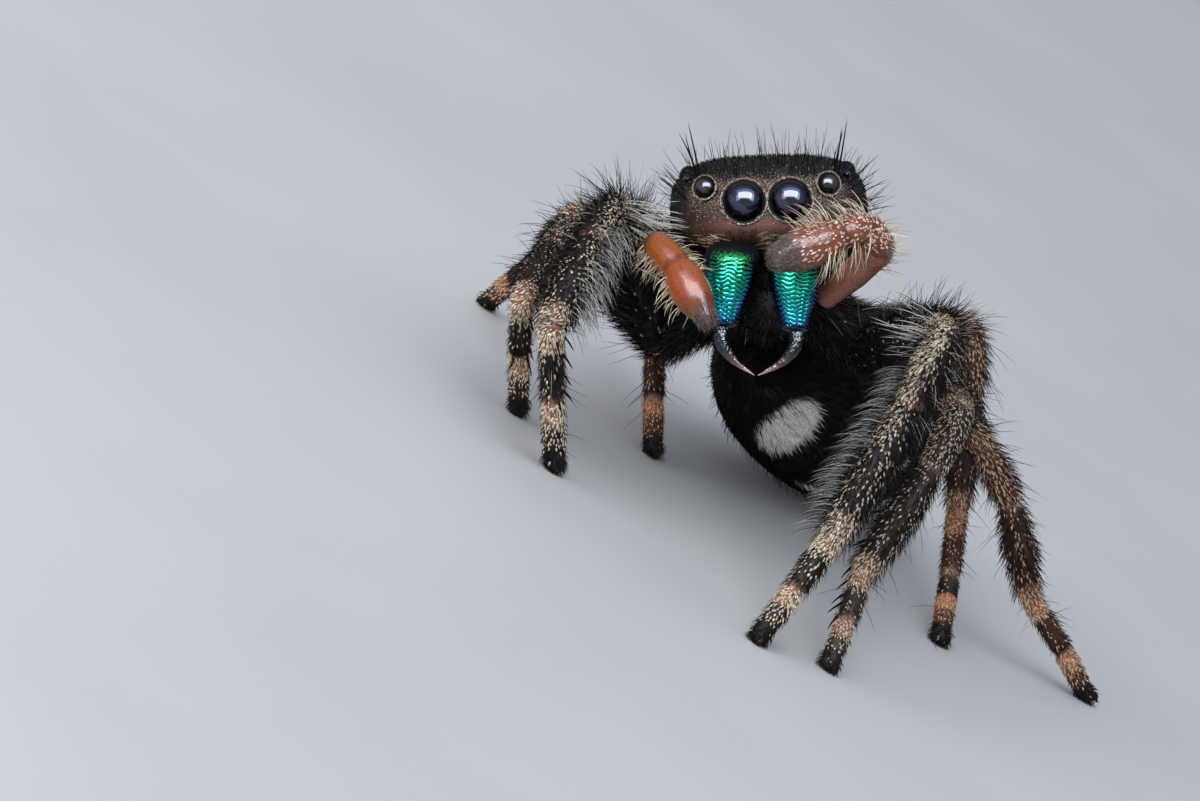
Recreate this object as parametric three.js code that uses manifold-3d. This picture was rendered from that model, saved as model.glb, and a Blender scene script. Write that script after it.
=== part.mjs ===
// A bold jumping spider, a nearly grown male, life size and standing on its eight feet.
// Millimetres and degrees. The ground is z = 0, +Z is up, and the spider looks along -Y.
// Its right side is at -X. The outer surfaces are those of the short coat of hairs.

import * as THREE from 'three';
import { mergeVertices } from 'three/addons/utils/BufferGeometryUtils.js';
import Module from 'manifold-3d';

// ---------------------------------------------------------------- driving dimensions

// The saw cut that parts two neighbouring pieces, and how far a facet may stray.
const CUT = 0.05;
const FACET = 0.022;
const EYE_FACET = 0.003;

// How the fore body is carried: the point between the two main eyes, and its turn.
const FACE_AT = [0.55, 1.05, 5.25];
const BODY_YAW = -5;
const BODY_PITCH = -18;
const BODY_ROLL = -35;

// The carapace, in the fore body's own frame: x to its left, y backwards, z up.
const CARAPACE_FRONT = 0.2;
const CARAPACE_REAR = 4.3;
const FACE_HALF_WIDTH = 1.43;
const CARAPACE_HALF_WIDTH = 1.63;
const REAR_WIDTH_SHARE = 0.6;
const FACE_TOP = 0.46;
const CROWN_TOP = 0.97;
const REAR_FALL = 1.5;
const CLYPEUS_EDGE = -0.66;
const CARAPACE_MARGIN = -1.02;

// How blunt the carapace is: 1 is a ball, and less is nearer to a box.
const FRONT_BLUNTNESS = 0.5;
const REAR_BLUNTNESS = 0.8;
const GIRTH_BLUNTNESS = 0.62;

// The four pairs of eyes: the lens radius and the centre of the left one of each pair.
const EYES = [
  { name: 'anterior_median', radius: 0.345, at: [0.366, 0.345, 0], sides: 13, rings: 8 },
  { name: 'anterior_lateral', radius: 0.185, at: [0.97, 0.42, 0.25], sides: 10, rings: 6 },
  { name: 'posterior_median', radius: 0.065, at: [1.29, 1.12, 0.495], sides: 8, rings: 5 },
  { name: 'posterior_lateral', radius: 0.165, at: [1.3, 1.9, 0.68], sides: 10, rings: 6 },
];

// The jaws hang from the clypeus, and are swung a little to the spider's right.
const JAW_SHIFT = -0.05;
const JAW_SWING = 5.5;
const JAW_SPACING = 0.5;
const JAW_SPLAY = 0.05;
const JAW_LENGTH = 1.42;
const JAW_HALF_WIDTH = 0.44;
const JAW_FOOT_HALF_WIDTH = 0.26;
const JAW_SWELL = 0.14;
const JAW_DEPTH_AT = 0.42;
const JAW_BULGE = 0.08;

// The fangs bow outwards under the jaws, and their tips almost meet.
const FANG_RADIUS = 0.12;
const FANG_DROP = 0.71;
const FANG_ROOT_AT = 0.58;
const FANG_BOW_AT = 0.616;
const FANG_TURN_AT = 0.28;
const FANG_TIP_AT = 0.03;

// The mouthparts and the breast plate between the hips.
const LIP_AT = [0, 1.05, -1.62];
const LIP_HALF = [0.55, 0.42, 0.45];
const BREAST_AT = [0, 2.65, -1.2];
const BREAST_HALF = [1.0, 1.72, 0.52];

// The palps, each from its base to the knee, the wrist, the bulb and the tip, in the body's
// frame, with the radii of its last length.
const PALPS = [
  {
    name: 'right',
    base: [-0.75, 1.05, -1.5],
    knee: [-1.7, 0.62, -0.86],
    wrist: [-1.77, 0.0, -0.67],
    bulb: [-1.45, -0.28, -1.08],
    tip: [-1.0, -0.68, -1.96],
    tarsus: [0.257, 0.323, 0.33, 0.284, 0.165],
  },
  {
    name: 'left',
    base: [0.9, 1.0, -1.5],
    knee: [1.83, 0.12, -0.83],
    wrist: [1.56, -0.36, -0.52],
    bulb: [1.17, -0.62, -0.67],
    tip: [0.19, -1.0, -1.07],
    tarsus: [0.257, 0.33, 0.345, 0.325, 0.205],
  },
];
const PALP_FEMUR_RADII = [0.2, 0.26, 0.235];
const PALP_TIBIA_RADII = [0.225, 0.255, 0.225, 0.26, 0.25];

// The hips by pair, from the breast plate out to the trochanter, in the body's frame. The
// right ones are held further out, and the left ones lower.
const RIGHT_HIPS = [
  { inner: [-0.5, 1.5, -1.35], outer: [-1.85, 1.8, -2.1] },
  { inner: [-0.62, 2.2, -1.35], outer: [-1.93, 2.6, -2.0] },
  { inner: [-0.62, 2.95, -1.35], outer: [-1.85, 3.45, -1.8] },
  { inner: [-0.5, 3.7, -1.3], outer: [-1.14, 4.52, -1.62] },
];
const LEFT_HIPS = [
  { inner: [0.5, 1.5, -1.35], outer: [1.4, 1.8, -2.3] },
  { inner: [0.62, 2.2, -1.35], outer: [1.6, 2.6, -2.05] },
  { inner: [0.62, 2.95, -1.35], outer: [1.66, 3.47, -1.74] },
  { inner: [0.5, 3.7, -1.3], outer: [1.14, 4.52, -1.62] },
];

// The stance, from the first pair to the last: each leg's knee, its ankle and its foot.
const RIGHT_LEGS = [
  { knee: [-1.45, 1.55, 3.74], ankle: [-1.3, -1.17, 2.19], foot: [-0.05, -0.55] },
  { knee: [-1.83, 2.68, 2.74], ankle: [-1.9, -0.11, 2.0], foot: [-1.04, 1.18] },
  { knee: [-1.82, 3.82, 2.76], ankle: [-2.04, 4.85, 1.57], foot: [-2.49, 5.89] },
  { knee: [-0.69, 7.13, 2.35], ankle: [0.29, 4.48, 1.36], foot: [1.19, 3.4] },
];
const LEFT_LEGS = [
  { knee: [4.1, 0.5, 5.1], ankle: [4.24, -1.74, 1.82], foot: [4.05, -2.7] },
  { knee: [5.0, 1.35, 3.95], ankle: [4.97, -0.78, 1.29], foot: [5.25, -1.9] },
  { knee: [5.76, 3.89, 3.02], ankle: [7.77, 4.12, 1.19], foot: [9.54, 4.83] },
  { knee: [4.65, 6.15, 4.09], ankle: [6.04, 5.15, 1.54], foot: [6.83, 2.94] },
];

// Leg radii of the first pair along each length, and how much slimmer the other pairs are.
const HIP_RADII = [0.4, 0.38, 0.34];
const FEMUR_RADII = [0.3, 0.45, 0.33];
const SHIN_RADII = [0.31, 0.36, 0.29, 0.37, 0.28];
const FOOT_RADII = [0.25, 0.24, 0.24];
const PAIR_GIRTH = [1, 0.9, 0.84, 0.84];
const LEAST_RADIUS = 0.22;
const LEG_SIDES = 8;

// Where a leg bends again below the knee and the ankle, and how far it bows out there.
const PATELLA_SHARE = 0.4;
const METATARSUS_SHARE = 0.54;
const KNEE_BOW = 0.16;
const HEEL_BOW = 0.053;
const SOLE_HEIGHT = 0.07;

// How far the round end of a limb reaches past its last joint, in radii, and its rim.
const END_REACH = 0.5;
const END_RIM = 0.66;

// The abdomen, which hangs lower than the fore body and is swung to the spider's left.
const ABDOMEN_AT = [3.36, 6.4, 1.49];
const ABDOMEN_YAW = -42;
const ABDOMEN_PITCH = -11;
const ABDOMEN_ROLL = 13;
const ABDOMEN_HALF_LENGTH = 2.67;
const ABDOMEN_HALF_WIDTH = 1.84;
const ABDOMEN_HALF_HEIGHT = 1.48;
const ABDOMEN_FRONT_FULLNESS = 2.5;
const ABDOMEN_REAR_FULLNESS = 2.4;
const ABDOMEN_TAPER = 0.3;
const ABDOMEN_ARCH = 0.12;

// The waist between the two halves of the body, and the spinnerets on the hind end.
const PEDICEL_RADIUS = 0.27;
const WAIST_FROM = [0, 4.0, -1.0];
const WAIST_TO = [0, -2.3, 0.3];
const SPINNERET_RING = 0.17;
const SPINNERET_LENGTH = 0.42;
const SPINNERET_RADII = [0.13, 0.08];
const SPINNERET_BASE_RADII = [0.34, 0.28];

// ---------------------------------------------------------------- solids

const wasm = await Module();
wasm.setup();

const { lerp, smoothstep: smooth, degToRad, clamp } = THREE.MathUtils;
const vector = (list) => new THREE.Vector3(...list);
const power = (value, exponent) => Math.sign(value) * Math.abs(value) ** exponent;
const placed = (solid, matrix) => solid.transform(matrix.elements);

// A closed geometry as a solid, with its faces turned outwards.
function solidOf(geometry) {
  const bare = geometry.clone();
  bare.deleteAttribute('normal');
  bare.deleteAttribute('uv');
  const merged = mergeVertices(bare, 1e-4);
  const make = (triVerts) => new wasm.Manifold(new wasm.Mesh({
    numProp: 3,
    vertProperties: Float32Array.from(merged.attributes.position.array),
    triVerts,
  }));
  const order = Uint32Array.from(merged.index.array);
  const made = make(order);
  return made.volume() > 0 ? made : make(order.reverse());
}

// The largest of a solid's bodies, without the crumbs that a cut can leave.
function largest(solid) {
  const bodies = solid.decompose();
  bodies.sort((a, b) => b.volume() - a.volume());
  return bodies[0];
}

// Moves every point of a geometry by a function.
function reshape(geometry, move) {
  const places = geometry.attributes.position;
  const point = new THREE.Vector3();
  for (let i = 0; i < places.count; i += 1) {
    point.fromBufferAttribute(places, i);
    move(point);
    places.setXYZ(i, point.x, point.y, point.z);
  }
  return geometry;
}

// The matrix that turns by yaw, pitch and roll, and then moves to a place.
function stance(place, yaw, pitch, roll) {
  const turn = new THREE.Euler(degToRad(pitch), degToRad(roll), degToRad(yaw), 'ZXY');
  return new THREE.Matrix4().makeRotationFromEuler(turn).setPosition(...place);
}

// A chain of places along a limb, with as many even steps in each straight as there are radii for.
function stations(joints, radii) {
  const steps = (radii.length - 1) / (joints.length - 1);
  return radii.map((radius, i) => {
    const straight = Math.min(joints.length - 2, Math.floor(i / steps));
    const at = joints[straight].clone().lerp(joints[straight + 1], i / steps - straight);
    return { at, radius };
  });
}

// One length of a limb with round ends, through its joints and with its radii.
function limb(joints, radii, sides, grow = 0) {
  const chain = stations(joints, radii);
  const first = chain[0];
  const last = chain[chain.length - 1];
  const outwards = (end, next) => end.at.clone().sub(next.at).normalize();
  const rounded = (end, way) => {
    const at = end.at.clone().addScaledVector(way, END_REACH * end.radius + grow);
    return { at, radius: END_RIM * end.radius };
  };
  chain.unshift(rounded(first, outwards(first, chain[1])));
  chain.push(rounded(last, outwards(last, chain[chain.length - 2])));

  // each ring faces the mean of the ways before and after it
  const across = new THREE.Vector3().crossVectors(
    joints[1].clone().sub(joints[0]),
    joints[joints.length - 1].clone().sub(joints[0]),
  );
  if (across.length() < 1e-3) across.set(0.31, 0.17, 0.93);
  const rings = chain.map(({ at, radius }, i) => {
    const before = chain[Math.max(0, i - 1)].at;
    const after = chain[Math.min(chain.length - 1, i + 1)].at;
    const way = after.clone().sub(before).normalize();
    const right = across.clone().addScaledVector(way, -across.dot(way)).normalize();
    const up = new THREE.Vector3().crossVectors(way, right);
    return { at, radius: radius + grow, right, up };
  });
  const tube = new THREE.CylinderGeometry(1, 1, 1, sides, rings.length - 1);
  reshape(tube, (p) => {
    const ring = rings[Math.round((0.5 - p.y) * (rings.length - 1))];
    const { x, z } = p;
    p.copy(ring.at).addScaledVector(ring.right, x * ring.radius).addScaledVector(ring.up, z * ring.radius);
  });
  return solidOf(tube);
}

// An ellipsoid by its centre and its three half sizes.
function egg(centre, half, sides, rings) {
  const ball = new THREE.SphereGeometry(1, sides, rings);
  ball.rotateX(Math.PI / 2);
  ball.scale(...half);
  ball.translate(...centre);
  return solidOf(ball);
}

// ---------------------------------------------------------------- fore body

const bodyStance = stance(FACE_AT, BODY_YAW, BODY_PITCH, BODY_ROLL);

// The carapace: a blunt box of a head with a flat crown, falling away behind the last eyes.
function carapaceSolid(grow = 0) {
  const half = (CARAPACE_REAR - CARAPACE_FRONT) / 2;
  const ball = new THREE.SphereGeometry(1, 22, 16);
  reshape(ball, (p) => {
    const along = -p.y;
    const ring = Math.min(1, Math.hypot(p.x, p.z));
    const blunt = along < 0 ? FRONT_BLUNTNESS : REAR_BLUNTNESS;
    const girth = ring ** blunt;
    const across = ring > 0 ? power(p.x / ring, GIRTH_BLUNTNESS) : 0;
    const rise = ring > 0 ? power(p.z / ring, GIRTH_BLUNTNESS) : 0;

    // the half width and the upper and lower edges at this share of the way back
    const share = (1 + power(along, blunt)) / 2;
    const widening = lerp(FACE_HALF_WIDTH, CARAPACE_HALF_WIDTH, smooth(share, 0, 0.45));
    const width = widening * lerp(1, REAR_WIDTH_SHARE, smooth(share, 0.6, 1));
    const crown = lerp(FACE_TOP, CROWN_TOP, smooth(share, 0, 0.4));
    const top = crown - REAR_FALL * smooth(share, 0.42, 1.05);
    const edge = lerp(CLYPEUS_EDGE, CARAPACE_MARGIN, smooth(share, 0.05, 0.4));
    p.x = across * girth * (width + grow);
    p.y = CARAPACE_FRONT + half + power(along, blunt) * (half + grow);
    p.z = (top + edge) / 2 + rise * girth * ((top - edge) / 2 + grow);
  });
  return solidOf(ball);
}

// The jaws' own frame: z is 0 at the clypeus and falls towards the fangs.
const jawTurn = new THREE.Matrix4()
  .makeTranslation(JAW_SHIFT, 0, CLYPEUS_EDGE)
  .multiply(new THREE.Matrix4().makeRotationY(degToRad(JAW_SWING)));

// A jaw: a stout barrel that is widest above its middle.
function jawSolid(side, grow = 0) {
  const steps = 5;
  const outline = [new THREE.Vector2(0, -grow)];
  for (let i = 0; i <= steps; i += 1) {
    const share = i / steps;
    const swell = 1 - JAW_SWELL + JAW_SWELL * Math.sin(Math.PI * Math.min(1, 0.3 + 0.75 * share));
    const width = lerp(JAW_HALF_WIDTH, JAW_FOOT_HALF_WIDTH, smooth(share, 0.35, 1));
    const reach = lerp(-grow, JAW_LENGTH + grow, share);
    outline.push(new THREE.Vector2(width * swell + grow, reach));
  }
  outline.push(new THREE.Vector2(0, JAW_LENGTH + CUT + grow));
  const turned = new THREE.LatheGeometry(outline, 14);
  turned.rotateX(-Math.PI / 2);
  reshape(turned, (p) => {
    const share = clamp(-p.z / JAW_LENGTH, 0, 1);
    p.x += side * (JAW_SPACING - JAW_SPLAY * p.z);
    p.y += JAW_DEPTH_AT - JAW_BULGE * Math.sin(Math.PI * share);
  });
  return placed(solidOf(turned), jawTurn);
}

// A fang: a horn that bows outwards and then turns in to meet its fellow.
function fangSolid(side, grow = 0) {
  const front = JAW_DEPTH_AT - 0.05;
  const path = new THREE.CatmullRomCurve3([
    new THREE.Vector3(side * FANG_ROOT_AT, JAW_DEPTH_AT, 0.12 - JAW_LENGTH),
    new THREE.Vector3(side * FANG_BOW_AT, front, -JAW_LENGTH - 0.15 * FANG_DROP),
    new THREE.Vector3(side * FANG_ROOT_AT, front, -JAW_LENGTH - 0.35 * FANG_DROP),
    new THREE.Vector3(side * FANG_TURN_AT, JAW_DEPTH_AT, -JAW_LENGTH - 0.8 * FANG_DROP),
    new THREE.Vector3(side * FANG_TIP_AT, JAW_DEPTH_AT, -JAW_LENGTH - FANG_DROP),
  ]);
  const steps = 8;
  const frames = path.computeFrenetFrames(steps);
  const horn = new THREE.CylinderGeometry(1, 1, 1, 7, steps);
  reshape(horn, (p) => {
    const share = clamp(0.5 - p.y, 0, 1);
    const step = Math.round(share * steps);
    const radius = FANG_RADIUS * (1 - 0.87 * share ** 1.6) + grow;
    const { x, z } = p;
    p.copy(path.getPointAt(share));
    p.addScaledVector(frames.normals[step], x * radius);
    p.addScaledVector(frames.binormals[step], z * radius);
  });
  return placed(solidOf(horn), jawTurn);
}

// A palp in three pieces: the femur, the patella with the tibia, and the swollen tarsus.
function palpSolids(palp, grow = 0) {
  const base = vector(palp.base);
  const knee = vector(palp.knee);
  const wrist = vector(palp.wrist);
  const bulb = vector(palp.bulb);
  const tip = vector(palp.tip);
  return {
    femur: limb([base, knee], PALP_FEMUR_RADII, 9, grow),
    patella_tibia: limb([knee, wrist, bulb], PALP_TIBIA_RADII, 9, grow),
    tarsus: limb([bulb, tip], palp.tarsus, 12, grow),
  };
}

// ---------------------------------------------------------------- legs

// A leg in four pieces from the hip to the sole, each a chain of straight lengths.
function legSolids(leg, side, pair, grow = 0) {
  const hip = (side < 0 ? RIGHT_HIPS : LEFT_HIPS)[pair];
  const inner = vector(hip.inner).applyMatrix4(bodyStance);
  const outer = vector(hip.outer).applyMatrix4(bodyStance);
  const knee = vector(leg.knee);
  const ankle = vector(leg.ankle);
  const foot = vector([...leg.foot, SOLE_HEIGHT]);
  const bow = knee.clone().sub(outer.clone().lerp(ankle, 0.5)).normalize();
  const elbow = knee.clone().lerp(ankle, PATELLA_SHARE).addScaledVector(bow, KNEE_BOW);
  const heel = ankle.clone().lerp(foot, METATARSUS_SHARE).addScaledVector(bow, HEEL_BOW);
  const girth = (radius) => Math.max(LEAST_RADIUS, radius * PAIR_GIRTH[pair]);
  const part = (joints, radii) => limb(joints, radii.map(girth), LEG_SIDES, grow);
  return {
    coxa_trochanter: part([inner, outer], HIP_RADII),
    femur: part([outer, knee], FEMUR_RADII),
    patella_tibia: part([knee, elbow, ankle], SHIN_RADII),
    metatarsus_tarsus: part([ankle, heel, foot], FOOT_RADII),
  };
}

// Everything above the ground, to trim the soles flat at z = 0.
const aboveGround = solidOf(new THREE.BoxGeometry(40, 40, 20).translate(0, 0, 10));

// ---------------------------------------------------------------- abdomen

const abdomenStance = stance(ABDOMEN_AT, ABDOMEN_YAW, ABDOMEN_PITCH, ABDOMEN_ROLL);

// A blunt egg, fullest before its middle and narrower behind.
function abdomenSolid(grow = 0) {
  const ball = new THREE.SphereGeometry(1, 20, 12);
  reshape(ball, (p) => {
    const along = -p.y;
    const ring = Math.hypot(p.x, p.z);
    const fullness = along < 0 ? ABDOMEN_FRONT_FULLNESS : ABDOMEN_REAR_FULLNESS;
    const girth = Math.sqrt(Math.max(0, 1 - Math.abs(along) ** fullness));
    const taper = 1 - ABDOMEN_TAPER * smooth(along, -0.1, 1);
    const scale = ring > 1e-6 ? girth * taper / ring : 0;
    p.x *= scale * (ABDOMEN_HALF_WIDTH + grow);
    p.z *= scale * (ABDOMEN_HALF_HEIGHT + grow);
    p.z += ABDOMEN_ARCH * (1 - along * along);
    p.y = along * (ABDOMEN_HALF_LENGTH + grow);
  });
  return placed(solidOf(ball), abdomenStance);
}

// Three pairs of small cones at the abdomen's hind end, on one base.
function spinneretsSolid() {
  const rear = new THREE.Vector3(0, ABDOMEN_HALF_LENGTH - 0.22, -0.05);
  const baseEnd = new THREE.Vector3(0, ABDOMEN_HALF_LENGTH + 0.05, -0.08);
  let cluster = limb([rear, baseEnd], SPINNERET_BASE_RADII, 8);
  for (let i = 0; i < 6; i += 1) {
    const angle = Math.PI * (i + 0.5) / 3;
    const way = new THREE.Vector3(Math.cos(angle), 0, Math.sin(angle));
    const from = baseEnd.clone().addScaledVector(way, SPINNERET_RING);
    const to = from.clone().addScaledVector(way, 0.06);
    to.y += SPINNERET_LENGTH - 0.1;
    cluster = cluster.add(limb([from, to], SPINNERET_RADII, 4));
  }
  return placed(cluster, abdomenStance);
}

// ---------------------------------------------------------------- assembly

const spider = new THREE.Group();
spider.name = 'jumping_spider';

const finishes = {
  carapace: new THREE.MeshStandardMaterial({ color: 0x2a1d19, roughness: 0.55 }),
  venter: new THREE.MeshStandardMaterial({ color: 0x171412, roughness: 0.7 }),
  main_eye: new THREE.MeshStandardMaterial({ color: 0x0a0d1c, roughness: 0.04 }),
  small_eye: new THREE.MeshStandardMaterial({ color: 0x120c0b, roughness: 0.06 }),
  jaw: new THREE.MeshStandardMaterial({ color: 0x0c9c8c, roughness: 0.28, metalness: 0.9 }),
  fang: new THREE.MeshStandardMaterial({ color: 0x2a1210, roughness: 0.15 }),
  palp: new THREE.MeshStandardMaterial({ color: 0xa2502e, roughness: 0.35 }),
  leg: new THREE.MeshStandardMaterial({ color: 0x2c221c, roughness: 0.6 }),
  abdomen: new THREE.MeshStandardMaterial({ color: 0x121112, roughness: 0.85 }),
};

function addPiece(name, solid, finish, facet = FACET) {
  const mesh = largest(solid).simplify(facet).getMesh();
  const geometry = new THREE.BufferGeometry();
  const places = Float32Array.from(mesh.vertProperties);
  geometry.setAttribute('position', new THREE.BufferAttribute(places, 3));
  geometry.setIndex(new THREE.BufferAttribute(Uint32Array.from(mesh.triVerts), 1));
  geometry.computeVertexNormals();
  const piece = new THREE.Mesh(geometry, finishes[finish]);
  piece.name = name;
  spider.add(piece);
}

// The carapace with its eyes, each in a socket.
const hands = [{ side: -1, hand: 'right' }, { side: 1, hand: 'left' }];
let carapace = carapaceSolid();
for (const eye of EYES) {
  const finish = eye.name === 'anterior_median' ? 'main_eye' : 'small_eye';
  const ball = (centre, radius) => egg(centre, [radius, radius, radius], eye.sides, eye.rings);
  for (const { side, hand } of hands) {
    const centre = [side * eye.at[0], eye.at[1], eye.at[2]];
    carapace = carapace.subtract(ball(centre, eye.radius + CUT / 2));
    addPiece(`eye_${eye.name}_${hand}`, placed(ball(centre, eye.radius), bodyStance), finish, EYE_FACET);
  }
}
addPiece('carapace', placed(carapace, bodyStance), 'carapace');

// The jaws and fangs under the clypeus.
const carapaceRoom = carapaceSolid(CUT);
const jawRooms = [];
for (const { side, hand } of hands) {
  const jaw = jawSolid(side).subtract(carapaceRoom);
  const fang = fangSolid(side).subtract(jawSolid(side, CUT));
  addPiece(`chelicera_${hand}`, placed(jaw, bodyStance), 'jaw');
  addPiece(`fang_${hand}`, placed(fang, bodyStance), 'fang');
  jawRooms.push(jawSolid(side, CUT), fangSolid(side, CUT));
}
const jawRoom = wasm.Manifold.union(jawRooms);

// The breast plate and the mouthparts under the carapace.
const grown = (half) => half.map((size) => size + CUT);
const breastRoom = egg(BREAST_AT, grown(BREAST_HALF), 16, 9);
const lipsRoom = egg(LIP_AT, grown(LIP_HALF), 12, 8);
const breast = egg(BREAST_AT, BREAST_HALF, 16, 9).subtract(carapaceRoom);
const lips = egg(LIP_AT, LIP_HALF, 12, 8).subtract(wasm.Manifold.union([jawRoom, breastRoom, carapaceRoom]));
addPiece('sternum', placed(breast, bodyStance), 'venter');
addPiece('mouthparts', placed(lips, bodyStance), 'venter');

// The palps: each length is cut clear of the next one out, and of the body.
let bodyRoom = wasm.Manifold.union([carapaceRoom, breastRoom, lipsRoom, jawRoom]);
for (const palp of PALPS) {
  const pieces = palpSolids(palp);
  const rooms = palpSolids(palp, CUT);
  const tarsus = pieces.tarsus.subtract(bodyRoom);
  const tibia = pieces.patella_tibia.subtract(rooms.tarsus).subtract(bodyRoom);
  const femur = pieces.femur.subtract(rooms.patella_tibia).subtract(bodyRoom);
  addPiece(`palp_${palp.name}_femur`, placed(femur, bodyStance), 'palp');
  addPiece(`palp_${palp.name}_patella_tibia`, placed(tibia, bodyStance), 'palp');
  addPiece(`palp_${palp.name}_tarsus`, placed(tarsus, bodyStance), 'palp');
  bodyRoom = wasm.Manifold.union([bodyRoom, ...Object.values(rooms)]);
}

// The legs: each length is cut clear of the one before it, and the hips of each other.
let taken = placed(bodyRoom, bodyStance);
for (const { side, hand } of hands) {
  const legs = side < 0 ? RIGHT_LEGS : LEFT_LEGS;
  legs.forEach((leg, pair) => {
    const pieces = legSolids(leg, side, pair);
    const rooms = legSolids(leg, side, pair, CUT);
    const hip = pieces.coxa_trochanter.subtract(taken);
    const femur = pieces.femur.subtract(rooms.coxa_trochanter).subtract(taken);
    const shin = pieces.patella_tibia.subtract(rooms.femur);
    const foot = pieces.metatarsus_tarsus.subtract(rooms.patella_tibia).intersect(aboveGround);
    const name = `leg_${hand}_${pair + 1}`;
    addPiece(`${name}_coxa_trochanter`, hip, 'leg');
    addPiece(`${name}_femur`, femur, 'leg');
    addPiece(`${name}_patella_tibia`, shin, 'leg');
    addPiece(`${name}_metatarsus_tarsus`, foot, 'leg');
    taken = taken.add(rooms.coxa_trochanter);
  });
}

// The waist runs from the fore body into the abdomen, which is cut clear of both.
const waistFrom = vector(WAIST_FROM).applyMatrix4(bodyStance);
const waistTo = vector(WAIST_TO).applyMatrix4(abdomenStance);
const waistRadii = [PEDICEL_RADIUS, PEDICEL_RADIUS];
addPiece('pedicel', limb([waistFrom, waistTo], waistRadii, 8).subtract(taken), 'venter');
const before = taken.add(limb([waistFrom, waistTo], waistRadii, 8, CUT));
addPiece('abdomen', abdomenSolid().subtract(before), 'abdomen');
addPiece('spinnerets', spinneretsSolid().subtract(abdomenSolid(CUT)), 'venter');

// The origin is on the ground under the middle of the whole spider.
const middle = new THREE.Box3().setFromObject(spider).getCenter(new THREE.Vector3());
spider.position.set(-middle.x, -middle.y, 0);
spider.updateMatrixWorld(true);

export default spider;
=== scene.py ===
from math import cos, pi, radians, sin, sqrt

import bpy
import numpy as np
from mathutils import Matrix, Vector
from mathutils.bvhtree import BVHTree
from mathutils.kdtree import KDTree


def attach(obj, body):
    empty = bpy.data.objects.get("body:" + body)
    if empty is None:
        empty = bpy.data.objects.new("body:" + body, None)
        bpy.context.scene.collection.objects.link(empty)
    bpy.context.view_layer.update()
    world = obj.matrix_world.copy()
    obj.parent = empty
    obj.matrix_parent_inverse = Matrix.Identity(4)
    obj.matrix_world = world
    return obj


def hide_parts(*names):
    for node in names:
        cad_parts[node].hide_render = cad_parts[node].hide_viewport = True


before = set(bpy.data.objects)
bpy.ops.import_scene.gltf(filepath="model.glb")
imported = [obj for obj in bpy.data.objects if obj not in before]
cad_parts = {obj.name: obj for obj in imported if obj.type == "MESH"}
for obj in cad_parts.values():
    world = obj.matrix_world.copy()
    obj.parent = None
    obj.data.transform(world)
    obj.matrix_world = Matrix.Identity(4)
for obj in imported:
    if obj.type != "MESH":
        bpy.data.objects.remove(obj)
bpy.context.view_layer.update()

# ---------------------------------------------------------------- the stance of the model
# The spider stands as it was set, with the head turned up and tilted to one side. All
# sizes are millimetres on the solid model's own ground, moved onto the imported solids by
# the two main eyes, which fix the middle of the face.
MM = 0.001
FACE_AT = np.array([0.55, 1.05, 5.25])
MAIN_EYE_DEPTH = 0.345


def turned(yaw, pitch, roll):
    steps = [(yaw, "Z"), (pitch, "X"), (roll, "Y")]
    whole = Matrix.Identity(3)
    for degrees, axis in steps:
        whole = whole @ Matrix.Rotation(radians(degrees), 3, axis)
    return np.array(whole)


def middle_of(node):
    corners = np.array([v.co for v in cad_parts[node].data.vertices]) / MM
    return np.unique(corners.round(4), axis=0).mean(0)


def unit(ways):
    return ways / np.maximum(np.linalg.norm(ways, axis=-1, keepdims=True), 1e-9)


head_turn = turned(yaw=-5, pitch=-18, roll=-35)
main_eyes = [middle_of(f"eye_anterior_median_{hand}") for hand in ("right", "left")]
face = sum(main_eyes) / 2 - head_turn @ [0, MAIN_EYE_DEPTH, 0]
ground_shift = face - FACE_AT
HANDS = [(-1, "right"), (1, "left")]


def on_head(place):
    return face + np.asarray(place, float) @ head_turn.T


def on_ground(place):
    return np.asarray(place, float) + ground_shift


bpy.ops.object.select_all(action="DESELECT")

# ---------------------------------------------------------------- the table and the lamps
# A plain pale table top in soft studio light: a large box over the face, smaller ones at the
# left, in front and behind, and four that only show as glints. The camera looks a little
# down at the face, and is rolled with the lean of the head.
CAMERA_FROM_FACE = np.array([-0.55, -97.64, 21.88])
CAMERA_DIP = radians(15)
CAMERA_ROLL = radians(32)
LENS = 188.1
SENSOR_WIDTH = 36
CAMERA_REACH = (5, 3000)
TABLE_SIZE = 1800
ROOM_STRENGTH = 0.68


class Value:
    """A number that varies over a surface, for use in sums."""

    def __init__(self, finish, socket):
        self.finish, self.socket = finish, socket

    def sum_of(self, operation, *values):
        inputs = dict(enumerate(values))
        return self.finish.node("ShaderNodeMath", {"operation": operation}, inputs)

    def __add__(self, other):
        return self.sum_of("ADD", self, other)

    def __radd__(self, other):
        return self.sum_of("ADD", other, self)

    def __sub__(self, other):
        return self.sum_of("SUBTRACT", self, other)

    def __rsub__(self, other):
        return self.sum_of("SUBTRACT", other, self)

    def __mul__(self, other):
        return self.sum_of("MULTIPLY", self, other)

    def __rmul__(self, other):
        return self.sum_of("MULTIPLY", other, self)

    def __pow__(self, other):
        return self.sum_of("POWER", self, other)

    def within(self, low, high):
        """How far this number is from low to high, held between 0 and 1."""
        span = {"data_type": "FLOAT", "clamp": True}
        ends = {0: self, 1: low, 2: high, 3: 0.0, 4: 1.0}
        return self.finish.node("ShaderNodeMapRange", span, ends)


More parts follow.
